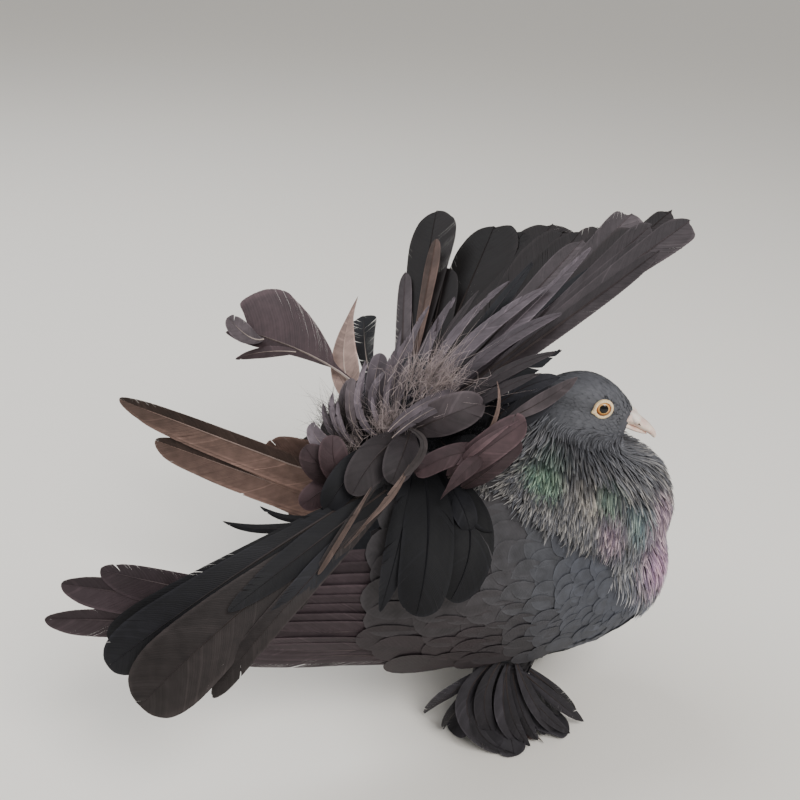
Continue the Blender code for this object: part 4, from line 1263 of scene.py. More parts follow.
HUB_FEATHERS = (
    ((342, 482, 20), (322, 468, 34), (305, 446, 34), 14, ROUNDED, RED_BROWN, 0.85, 0),
    ((348, 486, 26), (335, 464, 40), (333, 435, 38), 13, ROUNDED, RED_BROWN, 1, 0),
    ((338, 478, 18), (320, 492, 28), (301, 506, 28), 11.6, ROUNDED, RED_BROWN, 1.15, 0.2),
    ((382, 446, 28), (352, 472, 44), (326, 511, 46), 13.7, ROUNDED, JET, 0.9, 0),
    ((440, 440, 26), (456, 449, 34), (482, 442, 34), 11.4, ROUNDED, JET, 0.9, 0.2),
    ((406, 434, 30), (377, 456, 46), (352, 495, 52), 16, ROUNDED, TAIL_GREY, 0.38, 0),
    ((410, 430, 32), (403, 453, 50), (391, 484, 56), 14.2, ROUNDED, TAIL_GREY, 0.36, 0.05),
    ((440, 432, 10), (474, 402, 8), (502, 378, 4), 20, ROUNDED, JET, 1.7, 0),
    ((406, 434, 30), (446, 416, 46), (484, 402, 42), 16.4, ROUNDED, TAIL_GREY, 0.95, 0),
    ((478, 446, 46), (497, 414, 52), (497, 381, 48), 1.91, POINTED, TAN, 0.75, 0, 50),
    ((506, 420, 30), (546, 399, 27), (578, 377, 22), 7.21, POINTED, TAIL_GREY, 1, 0),
    ((498, 424, 26), (526, 404, 25), (556, 392, 22), 7.21, POINTED, JET, 1, 0.2),
    ((486, 452, 42), (452, 455, 54), (415, 474, 50), 9.31, LONG, RED_BROWN, 0.85, 0.1, 20),
    ((492, 450, 46), (466, 470, 56), (440, 500, 52), 7.16, LANCE, RED_BROWN, 0.8, 0.1),
    ((448, 478, 40), (488, 448, 54), (526, 421, 48), 13.6, LONG, RED_BROWN, 1, 0.05, 10),
    ((462, 488, 38), (494, 466, 50), (521, 440, 46), 8.54, LONG, RED_BROWN, 0.8, 0.1),
    ((452, 470, 46), (484, 442, 58), (519, 420, 52), 3.79, LANCE, RED_BROWN, 1.6, 0.1),
    ((498, 404, 20), (528, 386, 18), (560, 377, 13), 8.27, POINTED, JET, 2.6, 0.03),
    ((508, 432, 24), (536, 408, 22), (560, 393, 18), 9.09, POINTED, JET, 2.6, 0.03),
    ((500, 414, 18), (526, 396, 16), (548, 384, 13), 11, ROUNDED, JET, 2.2, 0.05),
    ((386, 490, 44), (306, 551, 63), (228, 612, 77), 13, TAPERED, JET, 0.75, 0.1, 2),
)
UPRIGHT_FEATHERS = (
    ((385, 426, -8), (332, 367, -38), (228, 326, -76), 38.0, FLAG, MAROON, 0.8, 0.0),
    ((264, 339, -60), (248, 336, -64), (228, 317, -70), 10.6, ROUNDED, TAIL_GREY, 1.1, 0.1),
    ((296, 352, -45), (264, 352, -59), (235, 359, -70), 6.8, POINTED, MAROON, 0.8, 0),
    ((376, 422, -8), (344, 366, -41), (358, 296, -80), 15.7, LANCE, TAN, 1.35, 0),
    ((380, 404, -12), (367, 362, -52), (364, 316, -88), 14.3, FLARED, JET, 0.9, 0.15),
    ((358, 434, 16), (344, 407, 18), (353, 378, 14), 6.42, LONG, TAIL_GREY, 1.15, 0.1),
    ((352, 440, 20), (334, 417, 22), (333, 392, 18), 3.64, POINTED, LILAC, 1.25, 0.3),
    ((374, 416, 10), (374, 386, 10), (381, 353, 8), 9.29, LONG, LILAC, 0.85, 0.1),
    ((346, 452, 22), (322, 444, 26), (311, 423, 24), 8.08, ROUNDED, LILAC, 1.35, 0.2),
    ((352, 442, 22), (331, 429, 24), (323, 402, 20), 3.62, POINTED, LILAC, 1.1, 0.3),
    ((364, 432, 16), (360, 396, 14), (366, 360, 12), 4.14, POINTED, LILAC, 1.21, 0.3),
    ((394, 410, 6), (396, 372, 4), (409, 336, 2), 5.17, POINTED, LILAC, 0.88, 0.3),
    ((384, 420, 10), (386, 384, 8), (394, 350, 6), 4.2, POINTED, LILAC, 1.1, 0.3),
    ((362, 440, 26), (350, 412, 28), (352, 378, 24), 4.49, LONG, TAIL_GREY, 1.35, 0.1),
    ((372, 434, 26), (357, 402, 28), (369, 362, 22), 2.7, TAPERED, LILAC, 1.5, 0.2),
    ((384, 430, 24), (372, 398, 24), (386, 370, 18), 4.09, TAPERED, LILAC, 0.8, 0.3),
    ((392, 428, 24), (386, 400, 22), (394, 364, 16), 2.74, POINTED, LILAC, 1.2, 0.3),
    ((378, 436, 28), (362, 420, 30), (358, 392, 26), 3.57, TAPERED, LILAC, 1, 0.3),
    ((352, 444, 24), (336, 424, 28), (331, 398, 24), 3.14, TAPERED, LILAC, 1.5, 0.2),
    ((356, 446, 26), (342, 428, 30), (338, 402, 26), 2.68, TAPERED, LILAC, 1.2, 0.2),
    ((396, 426, 20), (398, 394, 18), (412, 352, 12), 4.14, TAPERED, TAIL_GREY, 1.5, 0.2),
    ((388, 432, 28), (376, 416, 30), (372, 396, 26), 2.68, POINTED, LILAC, 1.6, 0.3),
    ((386, 434, 36), (416, 408, 42), (454, 391, 40), 4.6, LONG, LILAC, 0.8, 0.2),
    ((392, 438, 38), (424, 414, 44), (462, 398, 42), 4.4, LONG, LILAC, 0.55, 0.1),
)


def grid_spot(number):
    """A place of its own on the unwrap for a large feather."""
    return (0.06 + 0.12 * (number % 8), 0.06 + 0.12 * (number // 8))


def part_way(first, second, share):
    if isinstance(first, tuple):
        return tuple(part_way(a, b, share) for a, b in zip(first, second))
    return first + (second - first) * share


def between(rows, share):
    """Rows part way between the rows of a table, for the feathers that fill its gaps."""
    return tuple(part_way(first, second, share) for first, second in zip(rows, rows[1:]))


# turns of the short feathers that cover the hub on its far side
HUB_TURNS = (60, 80, 100, 120, 140)
HUB_LIFT = 24
HUB_LENGTH = 0.046
HUB_WIDTH = 0.02
PICTURE_SIDE = 800
FLAG_SKEW = 0.62


def seen(across, down, nearer):
    """The place that the picture shows at a pixel, so many millimetres nearer than the fan's centre."""
    focal = LENS / SENSOR * PICTURE_SIDE
    middle = PICTURE_SIDE / 2
    ray = (CAMERA_RIGHT * (across - middle) - CAMERA_UP * (down - middle)) / focal - CAMERA_BACK
    depth = (CAMERA_PLACE - FAN_CENTRE).dot(CAMERA_BACK) - nearer * MILLIMETRE
    return CAMERA_PLACE + ray * depth


def add_group(coat, rows, face, first, **more):
    """Feathers of a loose group; each has its own patch on the unwrap, counted from first."""
    for number, row in enumerate(rows):
        root, middle, tip, width, outline, colour, tone_and_light, fray, *roll = row
        width = width * MILLIMETRE
        line = placed_line(seen(*root), seen(*middle), seen(*tip), face, sum(roll))
        seed = 1000 + first * 7 + number
        # each feather's colour is scaled by one factor that holds its own tone and the painted light and
        # shade on it
        add_barbed(coat, line, width, outline, seed, colour * tone_and_light, grid_spot(first + number),
                   fray=fray, splits=0.0 if outline is FLAG else 0.4 + 3 * fray,
                   skew=FLAG_SKEW if outline is FLAG else 0.0,
                   shaft_width=min(0.0008, width * 0.035), **more)


def make_top_fan():
    coat = Coat("fan_top")
    for number, (turn, lift, length, width, fray, sink, outline, colour, tone_and_light) in enumerate(TOP_FEATHERS):
        curl, sway = 0.003 * math.sin(number * 1.7), 0.002 * math.cos(number)
        line = fan_line(turn, lift, length, sink, curl, sway)
        # each feather's colour is scaled by one factor that holds its own tone and the painted light and
        # shade on it
        add_barbed(coat, line, width, outline, 100 + number, colour * tone_and_light, grid_spot(number), fray=fray,
                   splits=0.4 + 3 * fray, vane_tone_and_light=(0.9, 1.3), tip_tone=0.75, ragged=0.035)
    return coat.finish(tail_finish, "tail_feathers", replaces=("tail_top",))


def make_left_fan():
    coat = Coat("fan_left")
    face = (FAN_FACE + CAMERA_BACK).normalized()
    add_group(coat, UPRIGHT_FEATHERS, face, 0, shaft=SHAFT_PALE * 1.3, lean=1.0)
    rows = FAR_FEATHERS + between(FAR_FEATHERS, 0.5)
    for number, (turn, lift, half_way, tip, width) in enumerate(rows):
        behind = number >= len(FAR_FEATHERS)
        line = bent_line(turn, lift, half_way, tip, 1, sink=-0.003 if behind else 0.0)
        add_barbed(coat, line, width, BROAD, 150 + number, JET * 1.1, grid_spot(16 + number), fray=0.3)
    for number, turn in enumerate(HUB_TURNS):
        line = fan_line(turn, HUB_LIFT, HUB_LENGTH, curl=-0.006)
        add_barbed(coat, line, HUB_WIDTH, LONG, 180 + number, JET * 1.4, grid_spot(40 + number), fray=0.1)
    return coat.finish(tail_finish, "tail_feathers", replaces=("tail_left",))


def make_right_fan():
    coat = Coat("fan_right")
    first = 0
    for rows, shaft in ((REAR_FEATHERS, SHAFT_DARK), (HANGING_FEATHERS, JET), (HUB_FEATHERS, SHAFT_DARK)):
        add_group(coat, rows, CAMERA_BACK, first, shaft=shaft)
        first += len(rows)
    return coat.finish(tail_finish, "tail_feathers", replaces=("tail_right",))


def make_undertail():
    coat = Coat("undertail_coverts")
    add_group(coat, UNDERSIDE_FEATHERS, FAN_FACE, 0, shaft=LILAC)
    return coat.finish(tail_finish, "tail_feathers")


make_top_fan()
make_left_fan()
make_right_fan()
make_undertail()

# %% [markdown]
# ## Wings
#
# A folded wing shows its tiers from front to back: small round coverts on the shoulder, larger
# ones behind them, then the secondaries, and last the long primaries whose tips pass under the
# fan. The wing's outer face is a surface given by a height and a station along the bird, and each
# feather is laid on it in side view, root under the tier before.

# %% Wing surface
WING_REACH = ((-0.185, 0.077), (-0.15, 0.071), (-0.1, 0.066), (-0.05, 0.062), (0.0, 0.063),
              (0.045, 0.06), (0.075, 0.05), (0.09, 0.036))
WING_OUTLINE = ((-0.175, 0.103, 0.12), (-0.15, 0.088, 0.126), (-0.1, 0.07, 0.124), (-0.06, 0.063, 0.127),
                (-0.03, 0.058, 0.14), (0.0, 0.054, 0.154), (0.03, 0.052, 0.154), (0.056, 0.056, 0.146),
                (0.076, 0.068, 0.13), (0.084, 0.086, 0.112))
WING_MIDDLE = 0.1
LEFT_WING_LIFT = 0.028


def read_row(rows, key):
    """The values of a table at a key, read between its rows."""
    keys, *columns = zip(*rows)
    return [float(np.interp(key, keys, column)) for column in columns]


def wing_out(x, z):
    reach = read_row(WING_REACH, x)[0]
    crown = (z - WING_MIDDLE) / 0.06
    fall = 0.55 if crown > 0 else 0.4
    return reach * (1 - fall * min(crown * crown, 1.2))


def wing_point(x, z, high, side):
    lift = LEFT_WING_LIFT * clamp((-0.06 - x) / 0.1) if side > 0 else 0.0
    return Vector((x, side * (wing_out(x, z) + high), z + lift))


def wing_face(x, z, side):
    step = 0.004
    along = wing_point(x + step, z, 0, side) - wing_point(x - step, z, 0, side)
    up = wing_point(x, z + step, 0, side) - wing_point(x, z - step, 0, side)
    face = along.cross(up).normalized()
    return face if face.y * side > 0 else -face


def wing_line(start, end, low, high, side, lean=0.0, sag=0.0):
    """A feather on the wing from one side-view place to another, sagging a little between."""
    way = (wing_point(*end, high, side) - wing_point(*start, low, side)).normalized()

    def place(share):
        x = start[0] + (end[0] - start[0]) * share
        z = start[1] + (end[1] - start[1]) * share - sag * 4 * share * (1 - share)
        point = wing_point(x, z, low + (high - low) * share ** 0.7, side)
        return point, turned(wing_face(x, z, side), way, lean * side)
    return place


# upper front edge of the wing's coverts, where the neck's long feathers fall over them
SHOULDER_X = (-0.01, 0.019, 0.028, 0.04, 0.056, 0.073, 0.096)
SHOULDER_Z = (0.16, 0.151, 0.143, 0.135, 0.127, 0.119, 0.097)


def shoulder(x):
    return float(np.interp(x, SHOULDER_X, SHOULDER_Z))


# %% [markdown]
# The wing's inner bed keeps the light from showing between the coverts: a sheet laid on the wing's
# face, a few millimetres under the feathers, and given a thickness. Its tint, the wing grey at half
# its brightness, is painted shade for the gaps between the coverts.

# %% Wing bed and wing feathers
BED_SINK = -0.0024
LEAN = math.radians(4)
SECONDARIES = 11
DRAPE_COUNT = 2200
# the primaries' tips in side view, longest first: the left wing shows two groups with a gap
PRIMARY_TIPS = {
    -1: ((-0.177, 0.103), (-0.17, 0.1175), (-0.1545, 0.1215), (-0.128, 0.11), (-0.122, 0.108),
         (-0.116, 0.107), (-0.11, 0.106), (-0.104, 0.105), (-0.098, 0.104), (-0.092, 0.104)),
    1: ((-0.158, 0.116), (-0.153, 0.114), (-0.147, 0.114), (-0.14, 0.114), (-0.141, 0.095),
        (-0.136, 0.094), (-0.129, 0.095), (-0.12, 0.096), (-0.11, 0.097), (-0.1, 0.098)),
}
SIDE_NAMES = {-1: "right", 1: "left"}


def make_wing_bed(side):
    bm = bmesh.new()
    bmesh.ops.create_grid(bm, x_segments=28, y_segments=12, size=0.5)
    for vert in bm.verts:
        x = -0.04 + 0.12 * (vert.co.x + 0.5)
        low, high = read_row(WING_OUTLINE, x)
        high = min(high, shoulder(x) + 0.008)
        z = low + 0.004 + (high - low - 0.008) * (vert.co.y + 0.5)
        vert.co = wing_point(x, z, BED_SINK, side) + SHIFT
    bmesh.ops.recalc_face_normals(bm, faces=bm.faces)
    bmesh.ops.solidify(bm, geom=list(bm.faces), thickness=0.0015)
    bmesh.ops.recalc_face_normals(bm, faces=bm.faces)
    mesh = mesh_of(bm, "wing_bed_" + SIDE_NAMES[side])
    # the bed's tint is half the wing grey: painted shade for the gaps between the coverts
    store_tint(mesh, np.broadcast_to(WING_GREY * 0.5, (len(mesh.vertices), 3)))
    mesh.shade_smooth()
    return place_piece(mesh.name, mesh, skin_finish)


def make_flights(side):
    """Primaries and secondaries, barb by barb."""
    coat = Coat("flight_feathers_" + SIDE_NAMES[side])
    tips = PRIMARY_TIPS[side]
    near_side = side < 0
    for number, end in enumerate(tips):
        i = number * 6 / (len(tips) - 1)
        rise = i if near_side else 6 - i
        start = (0.006 - 0.004 * i, 0.068 + 0.0045 * rise)
        colour = WING_BROWN * 0.95 if near_side else BROWN_UNDER * 0.92
        colour = colour * (1 + 0.06 * math.sin(number * 2.9))
        line = wing_line(start, end, -0.008 + 0.0006 * i, -0.0085 + 0.0011 * i, side)
        # one vane is painted lighter and the other darker: painted light and shade with the vanes' own tones
        add_barbed(coat, line, 0.0175, LONG, 400 + number + 50 * side, colour, grid_spot(number), fray=0.08,
                   shaft=SHAFT_PALE * (0.5 if near_side else 1.0), skew=0.25 * side, cup=0.06, splits=1.0,
                   vane_tone_and_light=(1.1, 0.8) if near_side else (0.35, 1.1), tip_tone=0.9 if near_side else 0.5)
    for number in range(SECONDARIES):
        i = number * 7 / (SECONDARIES - 1)
        start = (0.028 - 0.006 * i, 0.062 + 0.0082 * i)
        end = (-0.066 - 0.0025 * i, 0.072 + 0.0048 * i)
        if near_side:
            end = (-0.101 + 0.0016 * i, 0.076 + 0.0058 * i)
        line = wing_line(start, end, -0.005, 0.0004 + 0.0001 * i, side, LEAN / 2, sag=0.004)
        colour = WING_BROWN if near_side else BROWN_UNDER * (0.4 + 0.07 * i)
        colour = colour * (1.0 + 0.1 * math.sin(number * 1.9))
        add_barbed(coat, line, 0.025, LONG, 450 + number + 50 * side, colour, grid_spot(16 + number),
                   fray=0.06, cup=0.02, splits=0.4, shaft=SHAFT_PALE * 0.25, shaft_width=0.0005)
    return coat.finish(vane_finish, "wing_feathers", replaces=("wing_" + SIDE_NAMES[side],))


# first station, length, step across and half width of each tier
COVERT_TIERS = ((-0.004, 0.038, 0.012, 0.0085), (0.01, 0.03, 0.011, 0.008), (0.021, 0.026, 0.0105, 0.0075),
                (0.032, 0.024, 0.01, 0.0072), (0.042, 0.021, 0.0092, 0.0066), (0.051, 0.018, 0.0082, 0.0058),
                (0.059, 0.016, 0.0072, 0.0051), (0.066, 0.014, 0.0064, 0.0045),
                (0.072, 0.013, 0.0056, 0.0042), (0.077, 0.012, 0.0052, 0.004))


def make_coverts(side):
    """Tiers of coverts as rimmed blades, larger towards the rear."""
    rng = np.random.default_rng(500 + side)
    coat = Coat("wing_coverts_" + SIDE_NAMES[side])
    starts = []
    ends = []
    sizes = []
    for tier, (x, length, pitch, half) in enumerate(COVERT_TIERS):
        low, high = read_row(WING_OUTLINE, x)
        count = int((high - low) / pitch)
        for i in range(count + 1):
            share = min((i + 0.5 * (tier % 2)) / count, 1.0)
            z = low + 0.002 + (high - low - 0.004) * share + rng.normal(0, 0.0012)
            bow = 0.016 * (1 - (2 * share - 1) ** 2)
            start_x = x + 0.01 - bow * 0.6 + rng.normal(0, 0.0022)
            if z > shoulder(start_x) + 0.009:
                continue
            fall = 0.004 * (share - 0.6) + rng.normal(0.0, 0.0016)
            starts.append((start_x, z))
            ends.append((start_x - length * rng.uniform(0.88, 1.12), z - fall))
            sizes.append(half * rng.uniform(1.15, 1.6))
    count = len(starts)
    points, sides, ups = np.empty((3, count, blade_prism.stations, 3))
    for number, (start, end) in enumerate(zip(starts, ends)):
        line = wing_line(start, end, -0.0009, rng.uniform(0.0, 0.0002), side, LEAN * 0.15)
        points[number], sides[number], ups[number] = run_of(line, blade_prism.shares)[:3]
    halves = BLADE_HALVES[None, :] * np.array(sizes)[:, None]
    places = blade_prism.lay(points, sides, ups, halves, 0.00007, 0.01)
    roots = points[:, 0]
    forward = ease(0.02, 0.075, roots[:, 0])
    colour = blend(WING_GREY, SLATE, np.minimum(forward * 2, 1))
    colour = blend(colour, BLUE_SLATE, np.maximum(forward * 2 - 1, 0))
    low = 1 - ease(0.065, 0.105, roots[:, 2])
    colour = blend(colour, WING_BROWN, 0.9 * low * (1 - forward)) * (1 - 0.16 * low)[:, None]
    colour = colour * (1 + rng.normal(0, 0.06, count))[:, None]
    tints = rimmed(blade_prism, colour * 0.7, colour * 0.78)
    spots = np.stack([(roots[:, 0] + 0.06) / 0.16, (roots[:, 2] - 0.04) / 0.13], axis=-1)
    coat.add(blade_prism, places, tints, spots, taper=BLADE_HALVES)
    return coat.finish(wing_finish, "wing_feathers")


def make_drape(side):
    """The neck's long feathers where they fall from the skin over the front of the wing."""
    rng = np.random.default_rng(540 + side)
    count = DRAPE_COUNT
    x = rng.uniform(0.004, 0.092, count)
    t = rng.uniform(0.0, 0.72, count) ** 0.8
    points, sides, ups = np.empty((3, count, lock_prism.stations, 3))
    for number in range(count):
        z = shoulder(x[number])
        above = Vector((x[number] + 0.01, side * 0.03, z + 0.018))
        start = skin_tree.find_nearest(above)[0]
        end = wing_point(x[number] - 0.002, z - 0.006 + rng.normal(0, 0.0018), 0.0016, side)
        along = end - start
        reach = along.length
        bulge = Vector((0, side, 0.4)) * 0.1 * reach
        first = t[number]
        step = rng.uniform(0.0075, 0.0125) / reach
        across = along.cross(Vector((1, 0, 0))).cross(along).normalized()
        face = across.cross(along).normalized()
        face = face if face.y * side > 0 else -face
        turn = rng.normal(0, 0.16)
        for station, share in enumerate(lock_prism.shares):
            at = first + step * share
            point = start + along * at + bulge * (4 * at * (1 - min(at, 1.0)))
            aside = across * (turn * step * reach * share)
            points[number, station] = point + face * (0.0022 * share) + aside
            sides[number, station] = across
            ups[number, station] = face
    flip = np.einsum("nsk,nsk->ns", np.cross(sides, ups), np.gradient(points, axis=1)) > 0
    sides = np.where(flip[..., None], -sides, sides)
    width = 0.0005 * rng.uniform(0.7, 1.25, count)
    name = "shoulder_drape_" + SIDE_NAMES[side]
    return hackle_coat(name, (points, sides, ups), points[:, 0], width, np.ones(count), rng)


for side in (-1, 1):
    make_wing_bed(side)
    make_flights(side)
    make_coverts(side)
    make_drape(side)

# %% [markdown]
# ## Down and small feathers about the fan's hub
#
# Where the fan leaves the rump its underside is soft: loose grey down near the centre, and rounded
# feathers round it. Down has no hooks, so its barbs stand apart as fine curved hairs.

# %% Hub down
# middle of a group of hairs, its half size, the way they point, how far they spread from it, and
# their count, length and tint
DOWN_GROUPS = (
    ((0.0125, 0.025, 0.036), (0.014, 0.01, 0.005), (0.6, 0.9, 0.2), 0.4, 400, 0.011, DOWN_GREY * 1.2),
    ((-0.004, 0.006, 0.03), (0.009, 0.006, 0.005), (-0.1, 1.0, 0.25), 0.45, 260, 0.008, DOWN_GREY * 1.1),
    ((-0.022, -0.002, 0.024), (0.007, 0.005, 0.005), (-0.35, 1.0, 0.25), 0.45, 130, 0.007, DOWN_GREY * 1.0),
    ((0.05, 0.012, 0.0), (0.012, 0.009, 0.008), (-0.6, 0.5, 0.1), 0.35, 500, 0.008, JET * 2.6),
    ((-0.014, 0.0, 0.014), (0.013, 0.008, 0.008), (-0.2, 0.8, 0.3), 0.6, 900, 0.01, JET * 2.2),
    ((0.022, 0.002, 0.022), (0.016, 0.009, 0.01), (0.3, 0.6, 0.2), 0.6, 900, 0.01, JET * 2.2),
    ((-0.024, 0.005, 0.018), (0.009, 0.009, 0.006), (-0.2, 0.8, 0.1), 0.5, 700, 0.009, DOWN_GREY * 0.22),
)


def make_down():
    """Loose hairs: a, b and c count along the picture's right, its up and towards the camera."""
    rng = np.random.default_rng(61)
    coat = Coat("hub_down")
    axes = np.array([CAMERA_RIGHT, CAMERA_UP, CAMERA_BACK])
    share = lock_prism.shares[None, :, None]
    for middle, size, way, spread, count, length, tint in DOWN_GROUPS:
        offset = rng.normal(0, 0.5, (count, 3)) * size
        roots = np.array(FAN_CENTRE) + (np.array(middle) + offset) @ axes
        away = np.array(way) / np.linalg.norm(way) + offset / np.array(size) * spread * 0.5
        away = unit(away + rng.normal(0, spread * 0.4, (count, 3)))
        bend = rng.normal(0, 0.95, (count, 3))
        curl = rng.normal(0, 0.6, (count, 3))
        reach = (length * rng.uniform(0.5, 1.3, count))[:, None, None]
        path = away[:, None] * share + bend[:, None] * share ** 2 + (curl - bend)[:, None] * share ** 3
        points = roots[:, None, :] + (path * reach) @ axes
        ways = unit(np.gradient(points, axis=1))
        sides = unit(np.cross(ways, np.array(CAMERA_BACK)))
        ups = np.cross(sides, ways)
        width = rng.uniform(0.00007, 0.00016, count)
        halves = np.array([0.9, 1.0, 0.8, 0.5, 0.05])[None, :] * width[:, None]
        places = lock_prism.lay(points, sides, ups, halves, 0.0002)
        colour = tint[None, :] * rng.uniform(0.55, 1.15, count)[:, None]
        tints = spread_tint(lock_prism, colour * 0.6, colour)
        spots = round_spots(roots, FAN_CENTRE, FAN_FACE, FAN_FORWARD, 0.16)
        coat.add(lock_prism, places, tints, spots)
    return coat.finish(down_finish, "tail_feathers")


make_down()

# %% [markdown]
# ## Legs and feet
#
# The legs are short and feathered, and long stiff feathers grow from the feet over the toes. Under
# them are four toes, ringed with scutes and ending in curved claws.

# %% Leg feathers
LEG_PLACE = (0.034, 0.029)
LEG_SPACING = 0.0022


def on_legs(points):
    near_leg = np.hypot(points[:, 0] - LEG_PLACE[0], np.abs(points[:, 1]) - LEG_PLACE[1]) < 0.026
    return near_leg & (points[:, 2] < 0.046) & (points[:, 2] > 0.012)


def make_leg_coat():
    rng = np.random.default_rng(71)
    roots = scattered(on_legs, LEG_SPACING, 72)
    lengths = rng.uniform(0.009, 0.014, len(roots))
    points, sides, ups = walks(roots, lengths, lock_prism, (0.0, 0.0022), 0.25, 73)
    points[..., 2] = np.maximum(points[..., 2], 0.004)
    width = rng.uniform(0.0012, 0.002, len(roots))
    halves = np.array([0.7, 1.0, 0.9, 0.6, 0.08])[None, :] * width[:, None]
    places = lock_prism.lay(points, sides, ups, halves, 0.0003)
    colour = LEG_BLACK[None, :] * rng.uniform(0.6, 1.0, len(roots))[:, None]
    tints = spread_tint(lock_prism, colour * 0.7, colour)
    spots = round_spots(roots, (0.034, 0, 0.03), (0, 0, 1), (1, 0, 0), 0.06)
    coat = Coat("leg_coat")
    coat.add(lock_prism, places, tints, spots)
    return coat.finish(body_finish, "leg_feathers")


make_leg_coat()

# %% Toes, claws and foot feathers
TOE_RADIUS = 0.0036
# turn from straight ahead in degrees, and length
TOES = ((-32, 0.03), (4, 0.036), (40, 0.03), (178, 0.022))


def toe_finish():
    finish = Finish("toe_scutes")
    cells = finish.add("TexVoronoi", {"Vector": finish.places(), "Scale": 900.0}).outputs["Distance"]
    colour = finish.ramp(cells, ((0, srgb(72, 50, 50)), (1, srgb(52, 36, 38))))
    return finish.done({"Base Color": colour, "Roughness": 0.55, "Normal": finish.bump(cells, 1.0, 0.0003)})


def claw_finish():
    finish = Finish("claw_horn")
    colour = finish.ramp(finish.noise(400.0, 2.0), ((0, srgb(44, 38, 36)), (1, srgb(86, 74, 68))))
    return finish.done({"Base Color": colour, "Roughness": 0.35})


toe_skin = toe_finish()
claw_horn = claw_finish()


def loft_bm(bm, rings):
    """Bridge rings of points into a closed skin, starting from a vertex ring and its edges."""
    loops = []
    for ring in rings:
        verts = [bm.verts.new(point) for point in ring]
        edges = [bm.edges.new((verts[i - 1], verts[i])) for i in range(len(verts))]
        loops.append((verts, edges))
    for low, high in zip(loops, loops[1:]):
        bmesh.ops.bridge_loops(bm, edges=low[1] + high[1])
    for verts, edges in (loops[0], loops[-1]):
        bmesh.ops.contextual_create(bm, geom=edges)
    bmesh.ops.recalc_face_normals(bm, faces=bm.faces)


def ring_of(centre, first, second, radius_one, radius_two, count):
    turns = [2 * math.pi * i / count for i in range(count)]
    return [centre + first * (radius_one * math.cos(t)) + second * (radius_two * math.sin(t)) for t in turns]


def finish_piece(name, bm, material, subdivide=1, replaces=()):
    """Set a smooth bmesh, given in the bird's frame, on the bird."""
    bmesh.ops.translate(bm, verts=bm.verts, vec=SHIFT)
    mesh = mesh_of(bm, name)
    mesh.shade_smooth()
    piece = place_piece(name, mesh, material, replaces)
    if subdivide:
        smooth = piece.modifiers.new("rounding", "SUBSURF")
        smooth.levels = subdivide
        smooth.render_levels = subdivide
    return piece


def make_toes(side):
    toes = bmesh.new()
    claws = bmesh.new()
    heel = Vector((LEG_PLACE[0], side * LEG_PLACE[1], 0))
    up = Vector((0, 0, 1))
    for angle, length in TOES:
        yaw = math.radians(side * angle)
        way = Vector((math.cos(yaw), math.sin(yaw), 0))
        across = Vector((-way.y, way.x, 0))
        rings = []
        steps = 16
        for i in range(steps + 1):
            share = i / steps
            size = TOE_RADIUS * (0.95 - 0.35 * share) * (1 + 0.07 * (i % 2))
            size = size * (0.6 if i == steps else 1.0)
            centre = heel + way * (length * 0.78 * share) + up * max(size * 0.78, 0.001)
            rings.append(ring_of(centre, across, up, size, size * 0.78, 12))
        loft_bm(toes, rings)
        rings = []
        for share in (0.0, 0.25, 0.5, 0.75, 1.0):
            high = 0.003 + 0.0012 * share - 0.0034 * share ** 2
            centre = heel + way * (length * (0.74 + 0.24 * share)) + up * high
            size = 0.0013 * (1 - 0.9 * share)
            rings.append(ring_of(centre, across, up, size * 0.8, size, 8))
        loft_bm(claws, rings)
    ankle = [ring_of(heel + up * z, Vector((1, 0, 0)), Vector((0, 1, 0)), r, r, 12)
             for z, r in ((0.001, 0.005), (0.006, 0.0068), (0.012, 0.0062), (0.018, 0.0052))]
    loft_bm(toes, ankle)
    name = SIDE_NAMES[side]
    finish_piece("toes_" + name, toes, toe_skin, 1, ("foot_" + name,))
    finish_piece("claws_" + name, claws, claw_horn, 1)


def muff_line(heel, angle, reach, side, high):
    """A muff feather that leaves the leg outwards and droops to the floor."""
    turn = math.radians(side * angle)
    way = Vector((math.cos(turn), math.sin(turn), 0))
    start = heel + way * 0.004 + Vector((0, 0, 0.009 + high))
    spread = Vector((way.x, way.y * 0.62, 0)) * reach
    end = heel + spread + Vector((0, 0, 0.0012 + high * 0.1))
    pull = start + spread * 0.62 + Vector((0, 0, 0.005 + 0.25 * high))

    def place(share):
        point = start.lerp(pull, share).lerp(pull.lerp(end, share), share)
        return point, (Vector((0, 0, 1)) * (1 - 0.7 * share) + way * (0.2 + 0.8 * share)).normalized()
    return place


FLOOR_GAP = 0.0002
# height of its root on the leg, share of the full reach, step between feathers in degrees
MUFF_TIERS = ((0.0, 1.0, 23), (0.006, 0.85, 27), (0.013, 0.68, 31), (0.02, 0.56, 36), (0.028, 0.46, 41))
